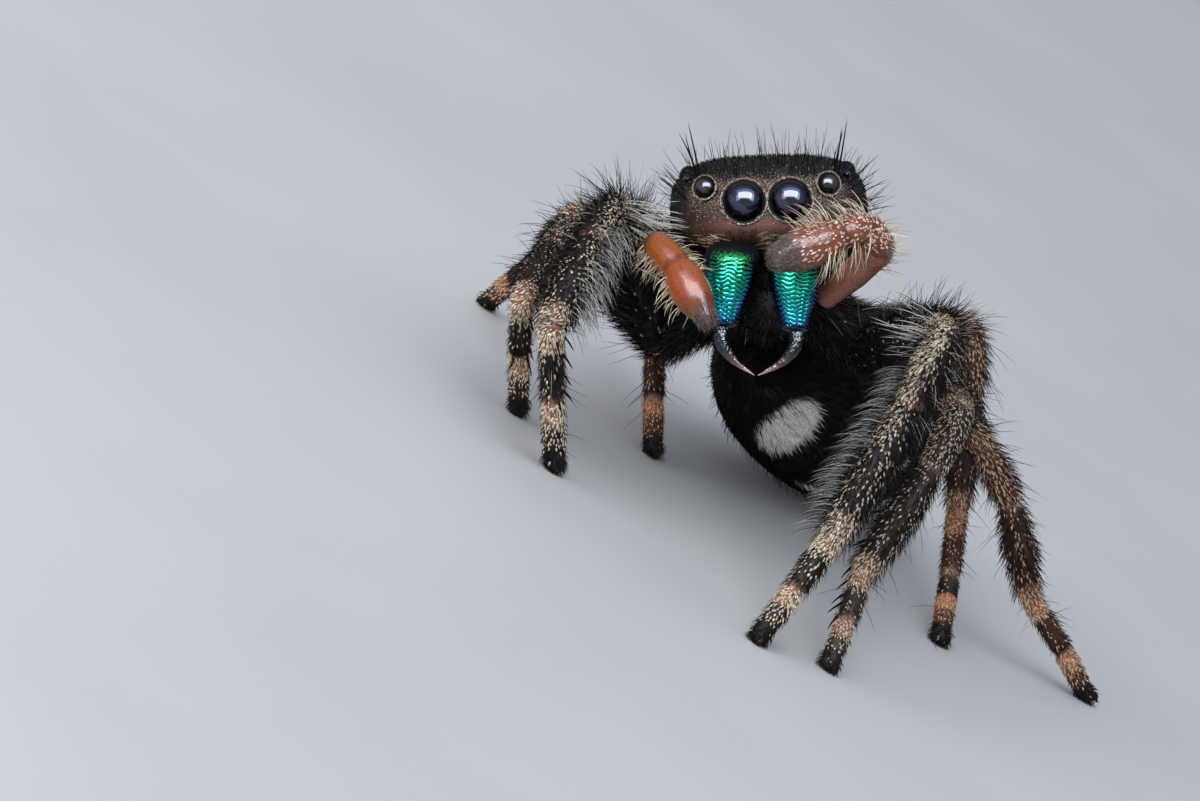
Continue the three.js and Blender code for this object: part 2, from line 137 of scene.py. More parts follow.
class Finish:
    """A material with one glossy skin shader, whose nodes are added by one method."""

    def __init__(self, name, **skin):
        self.material = bpy.data.materials.new(name)
        self.material.use_nodes = True
        self.tree = self.material.node_tree
        self.skin = self.tree.nodes["Principled BSDF"]
        for socket, value in skin.items():
            self.feed(self.skin.inputs[socket.replace("_", " ")], value)

    def feed(self, socket, value):
        if isinstance(value, Value):
            self.tree.links.new(value.socket, socket)
        else:
            socket.default_value = value

    def node(self, kind, settings=None, inputs=None, output=0):
        made = self.tree.nodes.new(kind)
        for setting, value in (settings or {}).items():
            if setting == "stops":
                ramp = made.color_ramp
                while len(ramp.elements) < len(value):
                    ramp.elements.new(0.5)
                for element, (spot, tone) in zip(ramp.elements, value):
                    element.position, element.color = spot, tone
            else:
                setattr(made, setting, value)
        for socket, value in (inputs or {}).items():
            self.feed(made.inputs[socket], value)
        return Value(self, made.outputs[output])

    def set(self, socket, value):
        self.feed(self.skin.inputs[socket], value)

    def place(self):
        return self.node("ShaderNodeTexCoord", output="Object")

    def noise(self, scale, detail=2.0, vector=None):
        inputs = {"Vector": vector or self.place(), "Scale": scale, "Detail": detail}
        return self.node("ShaderNodeTexNoise", None, inputs)

    def attribute(self, name, output="Fac"):
        return self.node("ShaderNodeAttribute", {"attribute_name": name}, None, output)

    def ramp(self, value, stops):
        return self.node("ShaderNodeValToRGB", {"stops": stops}, {"Fac": value})

    def mixed(self, first, second, share):
        """The first colour where the share is 0, and the second where it is 1."""
        inputs = {0: share, 6: first, 7: second}
        return self.node("ShaderNodeMix", {"data_type": "RGBA"}, inputs, 2)

    def bump(self, height, distance, strength=1.0):
        inputs = {"Height": height, "Distance": distance, "Strength": strength}
        self.set("Normal", self.node("ShaderNodeBump", None, inputs))


def colour(red, green, blue):
    """The working value of a screen colour."""
    shares = [c / 255 for c in (red, green, blue)]
    linear = [s / 12.92 if s <= 0.04045 else ((s + 0.055) / 1.055) ** 2.4 for s in shares]
    return (*linear, 1.0)


def paint(red, green, blue):
    """The same as an array of three, for sums on colours."""
    return np.array(colour(red, green, blue)[:3])


def fresh(kind, **settings):
    """Adds a primitive at its size and place and returns it, with nothing else selected."""
    bpy.ops.object.select_all(action="DESELECT")
    getattr(bpy.ops.mesh, f"primitive_{kind}_add")(**settings)
    return bpy.context.object


camera_back = Vector((0, -cos(CAMERA_DIP), sin(CAMERA_DIP)))
level_right = Vector((1, 0, 0))
level_up = camera_back.cross(level_right)
camera_right = level_right * cos(CAMERA_ROLL) + level_up * sin(CAMERA_ROLL)
camera_up = camera_back.cross(camera_right)
camera_turn = Matrix((camera_right, camera_up, camera_back)).transposed()

camera_data = bpy.data.cameras.new("camera")
camera_data.lens = LENS
camera_data.sensor_width = SENSOR_WIDTH
camera_data.clip_start, camera_data.clip_end = (reach * MM for reach in CAMERA_REACH)
camera = bpy.data.objects.new("camera", camera_data)
bpy.context.scene.collection.objects.link(camera)
camera_place = Vector(face + CAMERA_FROM_FACE) * MM
camera.matrix_world = Matrix.Translation(camera_place) @ camera_turn.to_4x4()
bpy.context.scene.camera = camera

table = fresh("plane", size=TABLE_SIZE * MM)
table.name = "table"
table_finish = Finish("table_paint", Roughness=0.9)
table_finish.set("Specular IOR Level", 0.1)
table_greys = [(0.3, colour(197, 198, 201)), (0.7, colour(205, 205, 206))]
table_finish.set("Base Color", table_finish.ramp(table_finish.noise(120.0), table_greys))
table.data.materials.append(table_finish.material)

# Each lamp: its way from the face in the camera's own right, up and back, its distance, its
# width and height, its power, its colour, and whether it is a glint, which only shows in
# reflections. The others light the surfaces and don't show in reflections.
LAMPS = [
    ("lamp_over_face", (0.1, 0.98, 0.86), 95, 130, 90, 0.05, (1, 1, 1), False),
    ("lamp_at_left", (-0.85, 0.75, 0.62), 95, 70, 70, 0.024, (1, 0.99, 0.97), False),
    ("lamp_in_front", (-0.25, -0.1, 1.0), 95, 60, 60, 0.026, (1, 1, 1), False),
    ("lamp_behind", (0.3, 1.3, -0.9), 90, 70, 60, 0.012, (0.93, 0.96, 1), False),
    ("glint_over_face", (0.08, 0.74, 0.9), 62, 84, 40, 0.105, (0.97, 0.99, 1), True),
    ("glint_wide", (0.12, 0.8, 0.8), 64, 120, 74, 0.075, (0.42, 0.58, 1), True),
    ("glint_right", (0.7, 0.42, 0.74), 72, 30, 46, 0.02, (0.4, 0.86, 1), True),
    ("glint_left", (-0.62, 0.4, 0.8), 72, 26, 40, 0.014, (0.72, 0.6, 1), True),
]
for name, way, distance, width, height, power, tint, glint in LAMPS:
    lamp = bpy.data.objects.new(name, bpy.data.lights.new(name, "AREA"))
    bpy.context.scene.collection.objects.link(lamp)
    lamp.data.shape = "RECTANGLE"
    lamp.data.size, lamp.data.size_y = width * MM, height * MM
    lamp.data.energy = power
    lamp.data.color = tint
    towards = (camera_turn @ Vector(way)).normalized()
    lamp.location = Vector(face) * MM + towards * distance * MM
    across = (camera_right - camera_right.dot(towards) * towards).normalized()
    lamp.rotation_euler = Matrix((across, towards.cross(across), towards)).transposed().to_euler()
    lamp.visible_camera = False
    lamp.visible_diffuse = not glint
    lamp.visible_glossy = glint
world = bpy.data.worlds.new("room")
bpy.context.scene.world = world
world.use_nodes = True
room = world.node_tree.nodes["Background"]
room.inputs["Color"].default_value = colour(205, 212, 224)
room.inputs["Strength"].default_value = ROOM_STRENGTH
bpy.context.scene.view_settings.view_transform = "Standard"

# ---------------------------------------------------------------- head shield
# The carapace is one hard plate, a blunt box over the head that falls away behind the last
# eyes. Its skin lies under the short coat, and has a raised rim round each of the four front eyes.
COAT_DEPTH = 0.05
CARAPACE_FRONT = 0.2
CARAPACE_HALF = 2.05
CARAPACE_SIDES = 150
CARAPACE_RINGS = 104


class Form:
    """A closed surface as rings of places, from its fore end to its far end."""

    def __init__(self, name, rings, ends):
        self.name, self.places, self.ends = name, rings, ends

    def moulded(self):
        """A ball pulled into this form, ring by ring, and closed at both ends."""
        count, around = self.places.shape[:2]
        ball = fresh("uv_sphere", segments=around, ring_count=count + 1, radius=1)
        ball.name = self.name
        corners = np.zeros(len(ball.data.vertices) * 3)
        ball.data.vertices.foreach_get("co", corners)
        corners = corners.reshape(-1, 3)
        ring = np.rint(np.arccos(np.clip(corners[:, 2], -1, 1)) / pi * (count + 1)).astype(int) - 1
        turn = np.rint(np.arctan2(corners[:, 1], corners[:, 0]) / (2 * pi) * around).astype(int) % around
        moved = self.places[ring.clip(0, count - 1), turn]
        moved[ring < 0], moved[ring >= count] = self.ends
        ball.data.vertices.foreach_set("co", (moved * MM).ravel())
        bpy.ops.object.mode_set(mode="EDIT")
        bpy.ops.mesh.select_all(action="SELECT")
        bpy.ops.mesh.normals_make_consistent(inside=False)
        bpy.ops.object.mode_set(mode="OBJECT")
        return ball


# all the flesh, in the order in which it is made
FLESH = []


class Flesh(Form):
    """A form under the one skin, with its colour, its dullness, and notes on its rings."""

    def __init__(self, name, rings, ends, tint, dullness, **notes):
        super().__init__(name, rings, ends)
        self.tint, self.dullness, self.notes = tint, dullness, notes
        self.lie = unit(np.gradient(rings, axis=0))
        around = unit(np.roll(rings, -1, 1) - np.roll(rings, 1, 1))
        out = unit(np.cross(around, self.lie))
        outwards = ((rings - rings.mean(1, keepdims=True)) * out).sum()
        self.out = out if outwards >= 0 else -out
        FLESH.append(self)


def smooth(value, low, high):
    share = np.clip((value - low) / (high - low), 0, 1)
    return share * share * (3 - 2 * share)


def spaced(distances, count):
    """The rows of a fine run of steps that cut its length into even parts, without its ends."""
    run = np.concatenate([[0], np.cumsum(distances)])
    return np.interp(np.linspace(0, run[-1], count + 2)[1:-1], run, np.arange(len(run)))


def evened(shape, alongs, turns, rings, around):
    """A shape of two variables, evened out over its own surface, and its two ends."""
    fine = shape(alongs[:, None], turns[None, ::12])
    rows = spaced(np.linalg.norm(np.diff(fine, axis=0), axis=2).mean(1), rings)
    fine = shape(alongs[::12, None], turns[None, :])
    columns = spaced(np.linalg.norm(np.diff(fine, axis=1), axis=2).mean(0), around - 1)
    columns = np.concatenate([[0], columns])
    along = np.interp(rows, np.arange(len(alongs)), alongs)
    turn = np.interp(columns, np.arange(len(turns)), turns)
    ends = shape(alongs[[0, -1]], turns[[0, 0]])
    return shape(along[:, None], turn[None, :]), ends


def signed_power(value, exponent):
    return np.sign(value) * np.abs(value) ** exponent


def carapace_shape(along, turn):
    """A place on the carapace: along runs from -1 at the face to 1 at the rear."""
    blunt = np.where(along < 0, 0.5, 0.8)
    girth = (1 - np.abs(along) ** (2 / blunt)).clip(0) ** (blunt / 2)
    across = signed_power(np.cos(turn), 0.62)
    rise = signed_power(np.sin(turn), 0.62)
    share = (1 + along) / 2
    width = 1.43 + 0.2 * smooth(share, 0, 0.45)
    width = width * (1 - 0.4 * smooth(share, 0.6, 1))
    top = 0.46 + 0.51 * smooth(share, 0, 0.4) - 1.5 * smooth(share, 0.42, 1.05)
    edge = -0.66 - 0.36 * smooth(share, 0.05, 0.4)
    x = across * girth * (width - COAT_DEPTH)
    y = CARAPACE_FRONT + CARAPACE_HALF + along * (CARAPACE_HALF - COAT_DEPTH) + 0 * turn
    z = (top + edge) / 2 + rise * girth * ((top - edge) / 2 - COAT_DEPTH)
    return np.stack(np.broadcast_arrays(x, y, z), axis=-1)


# fine steps along and around, closer together near the two blunt ends
fine_along = signed_power(np.cos(np.linspace(pi, 0, 1500)), 0.5)
fine_along = np.unique(np.concatenate([fine_along, np.linspace(-0.99, 0.99, 1500)]))
fine_turn = np.linspace(0, 2 * pi, 1441)
head_rings, head_ends = evened(carapace_shape, fine_along, fine_turn, CARAPACE_RINGS, CARAPACE_SIDES)

BLACK = paint(13, 10, 10)
FACE_BROWN = paint(72, 54, 46)
CLYPEUS_RED = paint(166, 119, 106)
x, y, z = np.moveaxis(head_rings, -1, 0)
on_face = 1 - smooth(y, 0.4, 1.3)
under = on_face * (1 - smooth(z, -0.42, -0.2)) * (1 - 0.6 * smooth(np.abs(x), 0.65, 1.05))
bronze = on_face * (1 - smooth(z, 0.28, 0.4))
head_tint = BLACK + bronze[..., None] * (FACE_BROWN - BLACK)
head_tint = head_tint + under[..., None] * (CLYPEUS_RED - head_tint)
head_form = Flesh("carapace_form", on_head(head_rings), on_head(head_ends), head_tint, 0.62 - 0.12 * under,
                  own=head_rings)

# ---------------------------------------------------------------- abdomen, waist and breast
# The abdomen is a soft bag under a short black velvet, with a pale patch on each
# shoulder, pale spots on its back and slanting lines on its sides. A thin waist joins it
# to the breast plate, and three pairs of spinnerets close its hind end.
ABDOMEN_AT = [3.36, 6.4, 1.49]
ABDOMEN_HALF = (1.84, 2.67, 1.48)
ABDOMEN_SIDES = 104
ABDOMEN_RINGS = 92
abdomen_turn = turned(yaw=-42, pitch=-11, roll=13)
abdomen_middle = on_ground(ABDOMEN_AT)


def on_abdomen(place):
    return abdomen_middle + np.asarray(place, float) @ abdomen_turn.T


def abdomen_shape(along, turn):
    """A place on the abdomen: along runs from -1 at the waist to 1 at the spinnerets."""
    girth = np.sqrt((1 - np.abs(along) ** np.where(along < 0, 2.5, 2.4)).clip(0))
    taper = 1 - 0.3 * smooth(along, -0.1, 1)
    wide, long, high = (half - COAT_DEPTH for half in ABDOMEN_HALF)
    x = np.cos(turn) * girth * taper * wide
    z = np.sin(turn) * girth * taper * high + 0.12 * (1 - along * along)
    y = along * long + 0 * turn
    return np.stack(np.broadcast_arrays(x, y, z), axis=-1)


def round_mark(x, y, at, half, inner, outer):
    """A round mark with a soft edge: 1 within it and 0 outside."""
    return 1 - smooth(np.hypot((x - at[0]) / half[0], (y - at[1]) / half[1]), inner, outer)


def slanting_line(y, around, at, slope, half, first, last):
    """A line down the side, between two angles from the top of the back."""
    line = np.exp(-((y - at + (around - 95) * slope) / half) ** 2)
    return line * (around > first) * (around < last)


def abdomen_marks(places):
    """How pale the abdomen is at its own places: 0 is black and 1 is white."""
    x, y, z = np.moveaxis(places, -1, 0)
    around = np.degrees(np.arctan2(np.abs(x), z))
    away = np.stack([np.abs(x), y, z], -1) - [1.22, -1.95, -0.16]
    along = away @ unit(np.array([0.22, -0.21, 0.95]))
    across = np.sqrt(((away ** 2).sum(-1) - along ** 2).clip(0))
    flank = round_mark(along, across, (0, 0), (0.82, 0.35), 0.8, 1.1)
    triangle = round_mark(x, y, (0, -0.05), (0.62, 0.42), 0.8, 1.1)
    triangle = triangle * (1 - round_mark(x, y, (0, 0.42), (0.3, 0.36), 0.7, 1.1))
    spots = round_mark(np.abs(x), y, (0.62, 1.05), (0.24, 0.16), 0.7, 1.2)
    hind_spots = round_mark(np.abs(x), y, (0.48, 1.75), (0.16, 0.12), 0.7, 1.2)
    fore_line = slanting_line(y, around, -0.15, 0.016, 0.13, 66, 126)
    hind_line = slanting_line(y, around, 1.15, 0.014, 0.1, 70, 120)
    above = (z > 0) * 1.0
    return np.clip(np.maximum.reduce([
        flank, triangle * above, spots * above, hind_spots * above, 0.9 * fore_line, 0.8 * hind_line,
    ]), 0, 1)


VELVET = paint(15, 14, 15)
CHALK = paint(232, 229, 224)
bag_along = np.cos(np.linspace(pi, 0, 1801))
bag_rings, bag_ends = evened(abdomen_shape, bag_along, fine_turn, ABDOMEN_RINGS, ABDOMEN_SIDES)
pale = abdomen_marks(bag_rings)
bag_tint = VELVET + pale[..., None] * (CHALK - VELVET)
abdomen_form = Flesh("abdomen_form", on_abdomen(bag_rings), on_abdomen(bag_ends), bag_tint, 0.75 + 0 * pale,
                     own=bag_rings)


TUBE_STEP = 0.01
HINGE_REACH = 0.07
CAP_ANGLES = np.radians([18, 38, 58, 76])
CAP_BULGE = 0.7


def tube(name, joints, girths, bow, around, spacing, tints=None, dullness=0.5, narrow=0.14, bend=0.12):
    """A limb through its joints, with a list of radii for each length. Tints make it flesh."""
    joints = np.asarray(joints, float)
    gaps = np.linalg.norm(np.diff(joints, axis=0), axis=1)
    marks = np.concatenate([[0], np.cumsum(gaps)])
    fine = np.arange(0, marks[-1], TUBE_STEP)
    line = np.stack([np.interp(fine, marks, joints[:, k]) for k in range(3)], axis=1)

    def rounded(values, reach):
        """The values with their corners rounded over a reach to each side."""
        count = int(reach / TUBE_STEP)
        lead = values[0] - (values[1] - values[0]) * np.arange(count, 0, -1)[:, None]
        tail = values[-1] + (values[-1] - values[-2]) * np.arange(1, count + 1)[:, None]
        kernel = np.hanning(2 * count + 3)[1:-1]
        whole = np.concatenate([lead, values, tail])
        return np.stack([np.convolve(w, kernel / kernel.sum(), "valid") for w in whole.T], axis=1)

    line = rounded(line, bend * 1.6)
    at, size = [], []
    for mark, gap, radii in zip(marks, gaps, girths):
        for share, radius in zip(np.linspace(0.03, 0.97, len(radii)), radii):
            at.append(mark + gap * share)
            size.append(radius)
    girth = rounded(np.interp(fine, at, size)[:, None], 0.1)[:, 0]
    for mark in marks[1:-1]:
        girth = girth * (1 - narrow * np.exp(-((fine - mark) / HINGE_REACH) ** 2))
        collar = np.exp(-((fine - mark + 2 * HINGE_REACH) / HINGE_REACH) ** 2)
        girth = girth * (1 + narrow * 0.3 * collar)

    stops = np.linspace(0, fine[-1], max(4, int(fine[-1] / spacing)))
    centre = np.stack([np.interp(stops, fine, line[:, k]) for k in range(3)], axis=1)
    radius = np.interp(stops, fine, girth)
    way = unit(np.gradient(centre, axis=0))
    caps = len(CAP_ANGLES)
    lead = centre[0] - np.outer(np.sin(CAP_ANGLES[::-1]) * CAP_BULGE * radius[0], way[0])
    tail = centre[-1] + np.outer(np.sin(CAP_ANGLES) * CAP_BULGE * radius[-1], way[-1])
    tips = (CAP_BULGE + 0.02) * radius[[0, -1], None] * way[[0, -1]]
    ends = np.stack([centre[0] - tips[0], centre[-1] + tips[1]])
    along = np.concatenate([np.full(caps, 0.0), stops, np.full(caps, fine[-1])])
    way = np.concatenate([np.repeat(way[:1], caps, 0), way, np.repeat(way[-1:], caps, 0)])
    fore, rear = radius[0] * np.cos(CAP_ANGLES[::-1]), radius[-1] * np.cos(CAP_ANGLES)
    radius = np.concatenate([fore, radius, rear])
    centre = np.concatenate([lead, centre, tail])
    back = unit(bow - (way @ bow)[:, None] * way)
    side = np.cross(way, back)
    turn = np.arange(around) / around * 2 * pi
    ring = np.cos(turn)[None, :, None] * back[:, None] + np.sin(turn)[None, :, None] * side[:, None]
    rings = centre[:, None] + radius[:, None, None] * ring
    if tints is None:
        return Form(name, rings, ends)
    part = np.clip(np.searchsorted(marks, along, "right") - 1, 0, len(gaps) - 1)
    share = (along - marks[part]) / gaps[part]
    hinge = np.abs(along[:, None] - marks[None, 1:-1]).min(1) if len(gaps) > 1 else along + 9
    tint = np.repeat(tints(part, share, hinge)[:, None], around, 1)
    return Flesh(name, rings, ends, tint, dullness + 0 * rings[..., 0],
                 part=part, share=share, turn=turn, hinge=hinge)


def plain_tint(red, green, blue):
    base = paint(red, green, blue)
    return lambda part, share, hinge: np.broadcast_to(base, (len(part), 3))


def egg(name, middle, half, shade, rings, around):
    """An egg-shaped plate under the head."""
    def shape(along, turn):
        girth = np.sqrt((1 - along * along).clip(0))
        x = middle[0] + half[0] * girth * np.cos(turn)
        y = middle[1] + half[1] * along + 0 * turn
        z = middle[2] + half[2] * girth * np.sin(turn)
        return np.stack(np.broadcast_arrays(x, y, z), axis=-1)

    places, ends = evened(shape, np.cos(np.linspace(pi, 0, 901)), fine_turn, rings, around)
    tint = np.broadcast_to(shade, places.shape)
    return Flesh(name, on_head(places), on_head(ends), tint, np.full(places.shape[:2], 0.6))


breast_form = egg("breast_form", (0, 2.65, -1.2), (0.96, 1.68, 0.48), paint(24, 19, 17), 30, 40)
lip_form = egg("lip_form", (0, 1.05, -1.62), (0.52, 0.39, 0.42), paint(18, 15, 14), 24, 32)
upwards = np.array([0, 0, 1.0])
waist_line = [on_head([0, 4.0, -1.0]), on_abdomen([0, -2.3, 0.3])]
waist_form = tube("waist_form", waist_line, [(0.25, 0.24, 0.25)], upwards, 20, 0.08, plain_tint(40, 28, 24))
tail_line = on_abdomen([[0, 2.22, -0.04], [0, 2.7, -0.08]])
tail_form = tube("tail_form", tail_line, [(0.36, 0.3, 0.26)], upwards, 24, 0.05, plain_tint(26, 22, 20))
SPINNERETS = 6
for k in range(SPINNERETS):
    angle = 2 * pi * (k + 0.5) / SPINNERETS
    out = np.array([cos(angle), 0, sin(angle)])
    root = np.array([0, 2.64, -0.08]) + 0.16 * out
    tip = root + 0.06 * out + [0, 0.34, 0]
    tube(f"spinneret_form_{k}", on_abdomen([root, tip]), [(0.1, 0.105, 0.07)], upwards, 12, 0.04,
         plain_tint(52, 40, 33))

# ---------------------------------------------------------------- legs
# Each leg is a chain of six hard tubes: the hip, the femur, the kneecap, the shin, the
# long foot and the toe, with soft skin where they bend. The tubes are nearly black, and
# paler at the joints, where they wear rings of cream scales.
LEG_JOINTS = {"right": [
    ([-1.45, 1.55, 3.74], [-1.3, -1.17, 2.19], [-0.05, -0.55]),
    ([-1.83, 2.68, 2.74], [-1.9, -0.11, 2.0], [-1.04, 1.18]),
    ([-1.82, 3.82, 2.76], [-2.04, 4.85, 1.57], [-2.49, 5.89]),
    ([-0.69, 7.13, 2.35], [0.29, 4.48, 1.36], [1.19, 3.4]),
], "left": [
    ([4.1, 0.5, 5.1], [4.24, -1.74, 1.82], [4.05, -2.7]),
    ([5.0, 1.35, 3.95], [4.97, -0.78, 1.29], [5.25, -1.9]),
    ([5.76, 3.89, 3.02], [7.77, 4.12, 1.19], [9.54, 4.83]),
    ([4.65, 6.15, 4.09], [6.04, 5.15, 1.54], [6.83, 2.94]),
]}
HIP_JOINTS = {"right": [
    ([-0.5, 1.5, -1.35], [-1.85, 1.8, -2.1]),
    ([-0.62, 2.2, -1.35], [-1.93, 2.6, -2.0]),
    ([-0.62, 2.95, -1.35], [-1.85, 3.45, -1.8]),
    ([-0.5, 3.7, -1.3], [-1.14, 4.52, -1.62]),
], "left": [
    ([0.5, 1.5, -1.35], [1.4, 1.8, -2.3]),
    ([0.62, 2.2, -1.35], [1.6, 2.6, -2.05]),
    ([0.62, 2.95, -1.35], [1.66, 3.47, -1.74]),
    ([0.5, 3.7, -1.3], [1.14, 4.52, -1.62]),
]}
HIP, FEMUR, KNEECAP, SHIN, FOOT, TOE = range(6)
LEG_RADII = [
    (0.4, 0.38, 0.34), (0.3, 0.45, 0.33), (0.31, 0.36, 0.3), (0.29, 0.37, 0.28),
    (0.26, 0.235, 0.225), (0.23, 0.235, 0.2),
]
LEAST_GIRTH = 0.22
LEG_SIDES = 22
LEG_SPACING = 0.058
PAIR_GIRTH = [1, 0.9, 0.84, 0.84]
PAIR_WARMTH = [0.15, 0.35, 0.9, 0.9]
RING_LATE = {("left", 4): 0.36, ("right", 2): -0.12}
SOLE_LIFT = 0.02
TOE_DRAWN_IN = 0.02
LEG_BLACK = paint(20, 15, 14)
LEG_BROWN = paint(158, 118, 94)
LEG_RUST = paint(176, 106, 70)
SOFT_PINK = paint(172, 128, 112)


def paleness(part, share, late=0.0):
    """How pale the scales are along a leg: cream rings are near 1, and the last may be late."""
    whole = np.interp(part + share, [HIP, FOOT, TOE + late, TOE + 1], [HIP, FOOT, TOE, TOE + 1])
    part = np.minimum(np.floor(whole), TOE)
    share = whole - part
    return np.select(
        [part == HIP, part == FEMUR, part == KNEECAP, part == SHIN, part == FOOT, part == TOE],
        [0.02 + 0 * share,
         0.05 + 0.3 * smooth(share, 0.5, 0.7) + 0.4 * smooth(share, 0.84, 0.92),
         0.62 - 0.1 * smooth(share, 0.3, 0.5),
         0.36 + 0.45 * smooth(share, 0.8, 0.88),
         0.97 - 0.56 * smooth(share, 0.24, 0.4) - 0.36 * smooth(share, 0.82, 0.9),
         0.97 - 0.45 * smooth(share, 0.28, 0.44) - 0.47 * smooth(share, 0.62, 0.78)])


def leg_tint(warm, late):
    light = LEG_BROWN + warm * (LEG_RUST - LEG_BROWN)

    def tint(part, share, hinge):
        ringed = paleness(part, share, late)
        glow = smooth(ringed, 0.6, 0.95) + 0.35 * warm * smooth(ringed, 0.2, 0.6)
        base = LEG_BLACK + glow[:, None] * (light - LEG_BLACK)
        bare = np.where(part > FEMUR, 1.0, np.where(share > 0.5, 1.0, 0.1) * (part > HIP))
        soft = np.exp(-(hinge / 0.06) ** 2) * bare
        return base + 0.75 * soft[:, None] * (SOFT_PINK - base)

    return tint


legs = {}
for side, hand in HANDS:
    for pair, (knee, ankle, foot) in enumerate(LEG_JOINTS[hand]):
        inner, outer = (on_head(hip) for hip in HIP_JOINTS[hand][pair])
        knee, ankle, foot = on_ground(knee), on_ground(ankle), on_ground([*foot, 0.07])
        bow = unit(knee - (outer + ankle) / 2)
        elbow = knee + 0.4 * (ankle - knee) + 0.16 * bow
        heel = ankle + 0.54 * (foot - ankle) + 0.053 * bow
        joints = [inner, outer, knee, elbow, ankle, heel, foot]
        girths = [[max(LEAST_GIRTH, radius * PAIR_GIRTH[pair]) - COAT_DEPTH for radius in radii]
                  for radii in LEG_RADII]
        girths[TOE][-1] -= TOE_DRAWN_IN
        late = RING_LATE.get((hand, pair + 1), 0.0)
        leg = tube(f"leg_form_{hand}_{pair + 1}", joints, girths, bow, LEG_SIDES, LEG_SPACING,
                   leg_tint(PAIR_WARMTH[pair], late), 0.62)
        low = leg.places[..., 2] < SOLE_LIFT
        leg.places[low, 2] = SOLE_LIFT
        leg.ends[:, 2] = leg.ends[:, 2].clip(SOLE_LIFT)
        leg.notes.update(pair=pair, late=late)
        legs[hand, pair + 1] = leg

# ---------------------------------------------------------------- palps
# The two palps are short feelers beside the jaws, held up like arms. Their hard skin is a
# clear orange brown, smooth on the right one and downy on the left, with a swollen tip.
PALP_JOINTS = {
    "right": [(-0.75, 1.05, -1.5), (-1.7, 0.62, -0.86), (-1.77, 0, -0.67), (-1.45, -0.28, -1.08),
              (-1.0, -0.68, -1.96)],
    "left": [(0.9, 1.0, -1.5), (1.83, 0.12, -0.83), (1.56, -0.36, -0.52), (1.17, -0.62, -0.67),
             (0.19, -1.0, -1.07)],
}
PALP_RADII = [(0.2, 0.26, 0.235), (0.225, 0.255, 0.225), (0.225, 0.26, 0.25)]
PALP_ENDS = {"right": (0.257, 0.323, 0.33, 0.284, 0.165), "left": (0.257, 0.33, 0.345, 0.325, 0.205)}
PALP_DOWN = 0.004
PALP_SIDES = 36
PALP_SPACING = 0.036
PALP_DULLNESS = {"right": 0.23, "left": 0.24}
PALP_NARROW = {"right": 0.015, "left": 0.1}
PALP_ORANGE = paint(164, 86, 36)
PALP_PALE = paint(168, 84, 44)
PALP_RUSSET = paint(156, 86, 62)
PALP_UMBER = paint(150, 98, 80)
PALP_GREY = paint(112, 96, 88)


def palp_tint(hand):
    def tint(part, share, hinge):
        whole = part + share
        if hand == "right":
            base = PALP_UMBER + smooth(whole, 0.5, 1.2)[:, None] * (PALP_ORANGE - PALP_UMBER)
            base = base + smooth(whole, 2.7, 3.3)[:, None] * (PALP_PALE - base)
            base = base * (1 - 0.4 * smooth(whole, 3.45, 3.85))[:, None]
            base = base + (0.6 * smooth(whole, 3.78, 3.98))[:, None] * (PALP_GREY - base)
        else:
            base = PALP_UMBER + smooth(whole, 0.9, 1.6)[:, None] * (PALP_RUSSET - PALP_UMBER)
            base = base + (0.8 * smooth(whole, 3.55, 3.85))[:, None] * (PALP_GREY - base)
        return base * (1 - 0.4 * np.exp(-((hinge - 0.02) / 0.035) ** 2))[:, None]

    return tint


palps = {}
for side, hand in HANDS:
    joints = on_head(PALP_JOINTS[hand])
    girths = [[radius - PALP_DOWN for radius in radii] for radii in [*PALP_RADII, PALP_ENDS[hand]]]
    bow = unit(joints[2] - (joints[0] + joints[4]) / 2)
    palps[hand] = tube(f"palp_form_{hand}", joints, girths, bow, PALP_SIDES, PALP_SPACING, palp_tint(hand),
                       PALP_DULLNESS[hand], narrow=PALP_NARROW[hand], bend=0.09)

# ---------------------------------------------------------------- eyes
# Eight clear lenses sit in the carapace: two large ones in front, a smaller one on each
# side of them, and two pairs further back. Each is a polished dome over a dark pit, with
# reflections painted under its coat: a navy and violet ring in the large ones, a pinkish brown
# ring in the rest.
EYES = [
    ("anterior_median", 0.345, (0.366, MAIN_EYE_DEPTH, 0), "main_eyes", (0.03, -1, 0.02)),
    ("anterior_lateral", 0.185, (0.97, 0.42, 0.25), "small_eyes", (0.32, -1, 0.1)),
    ("posterior_median", 0.06, (1.285, 1.12, 0.49), "small_eyes", (1, -0.3, 0.7)),
    ("posterior_lateral", 0.155, (1.28, 1.9, 0.66), "small_eyes", (1, 0.1, 0.8)),
]
FRONT_EYES = 4
LENS_SIDES, LENS_RINGS = 64, 40
RIM_SHADE = paint(17, 14, 14)

main_lens = Finish("main_lens", Roughness=0.05, Coat_Roughness=0.08, Coat_IOR=1.6,
                   Specular_IOR_Level=0.2)
off_axis = main_lens.attribute("off_axis")
# The colour under the coat is painted reflection: the black pupil stands for the camera mirrored in the
# lens, and the navy and violet ring for the glimmer reflected from inside the eye.
main_eye_painted_reflection = main_lens.ramp(off_axis, [
    (0.0, colour(2, 2, 4)), (0.07, colour(2, 2, 4)), (0.1, colour(8, 14, 34)), (0.22, colour(14, 26, 60)),
    (0.34, colour(24, 26, 70)), (0.42, colour(13, 11, 38)), (0.5, colour(3, 3, 7)), (1.0, colour(2, 2, 3)),
])
main_lens.set("Base Color", main_eye_painted_reflection)
main_lens.set("Coat Weight", 1 - off_axis.within(0.38, 0.52))
small_lens = Finish("small_lens", Roughness=0.05, Coat_Roughness=0.06, Coat_IOR=1.6,
                    Coat_Tint=(1, 0.88, 0.84, 1), Specular_IOR_Level=0.2)
off_axis = small_lens.attribute("off_axis")
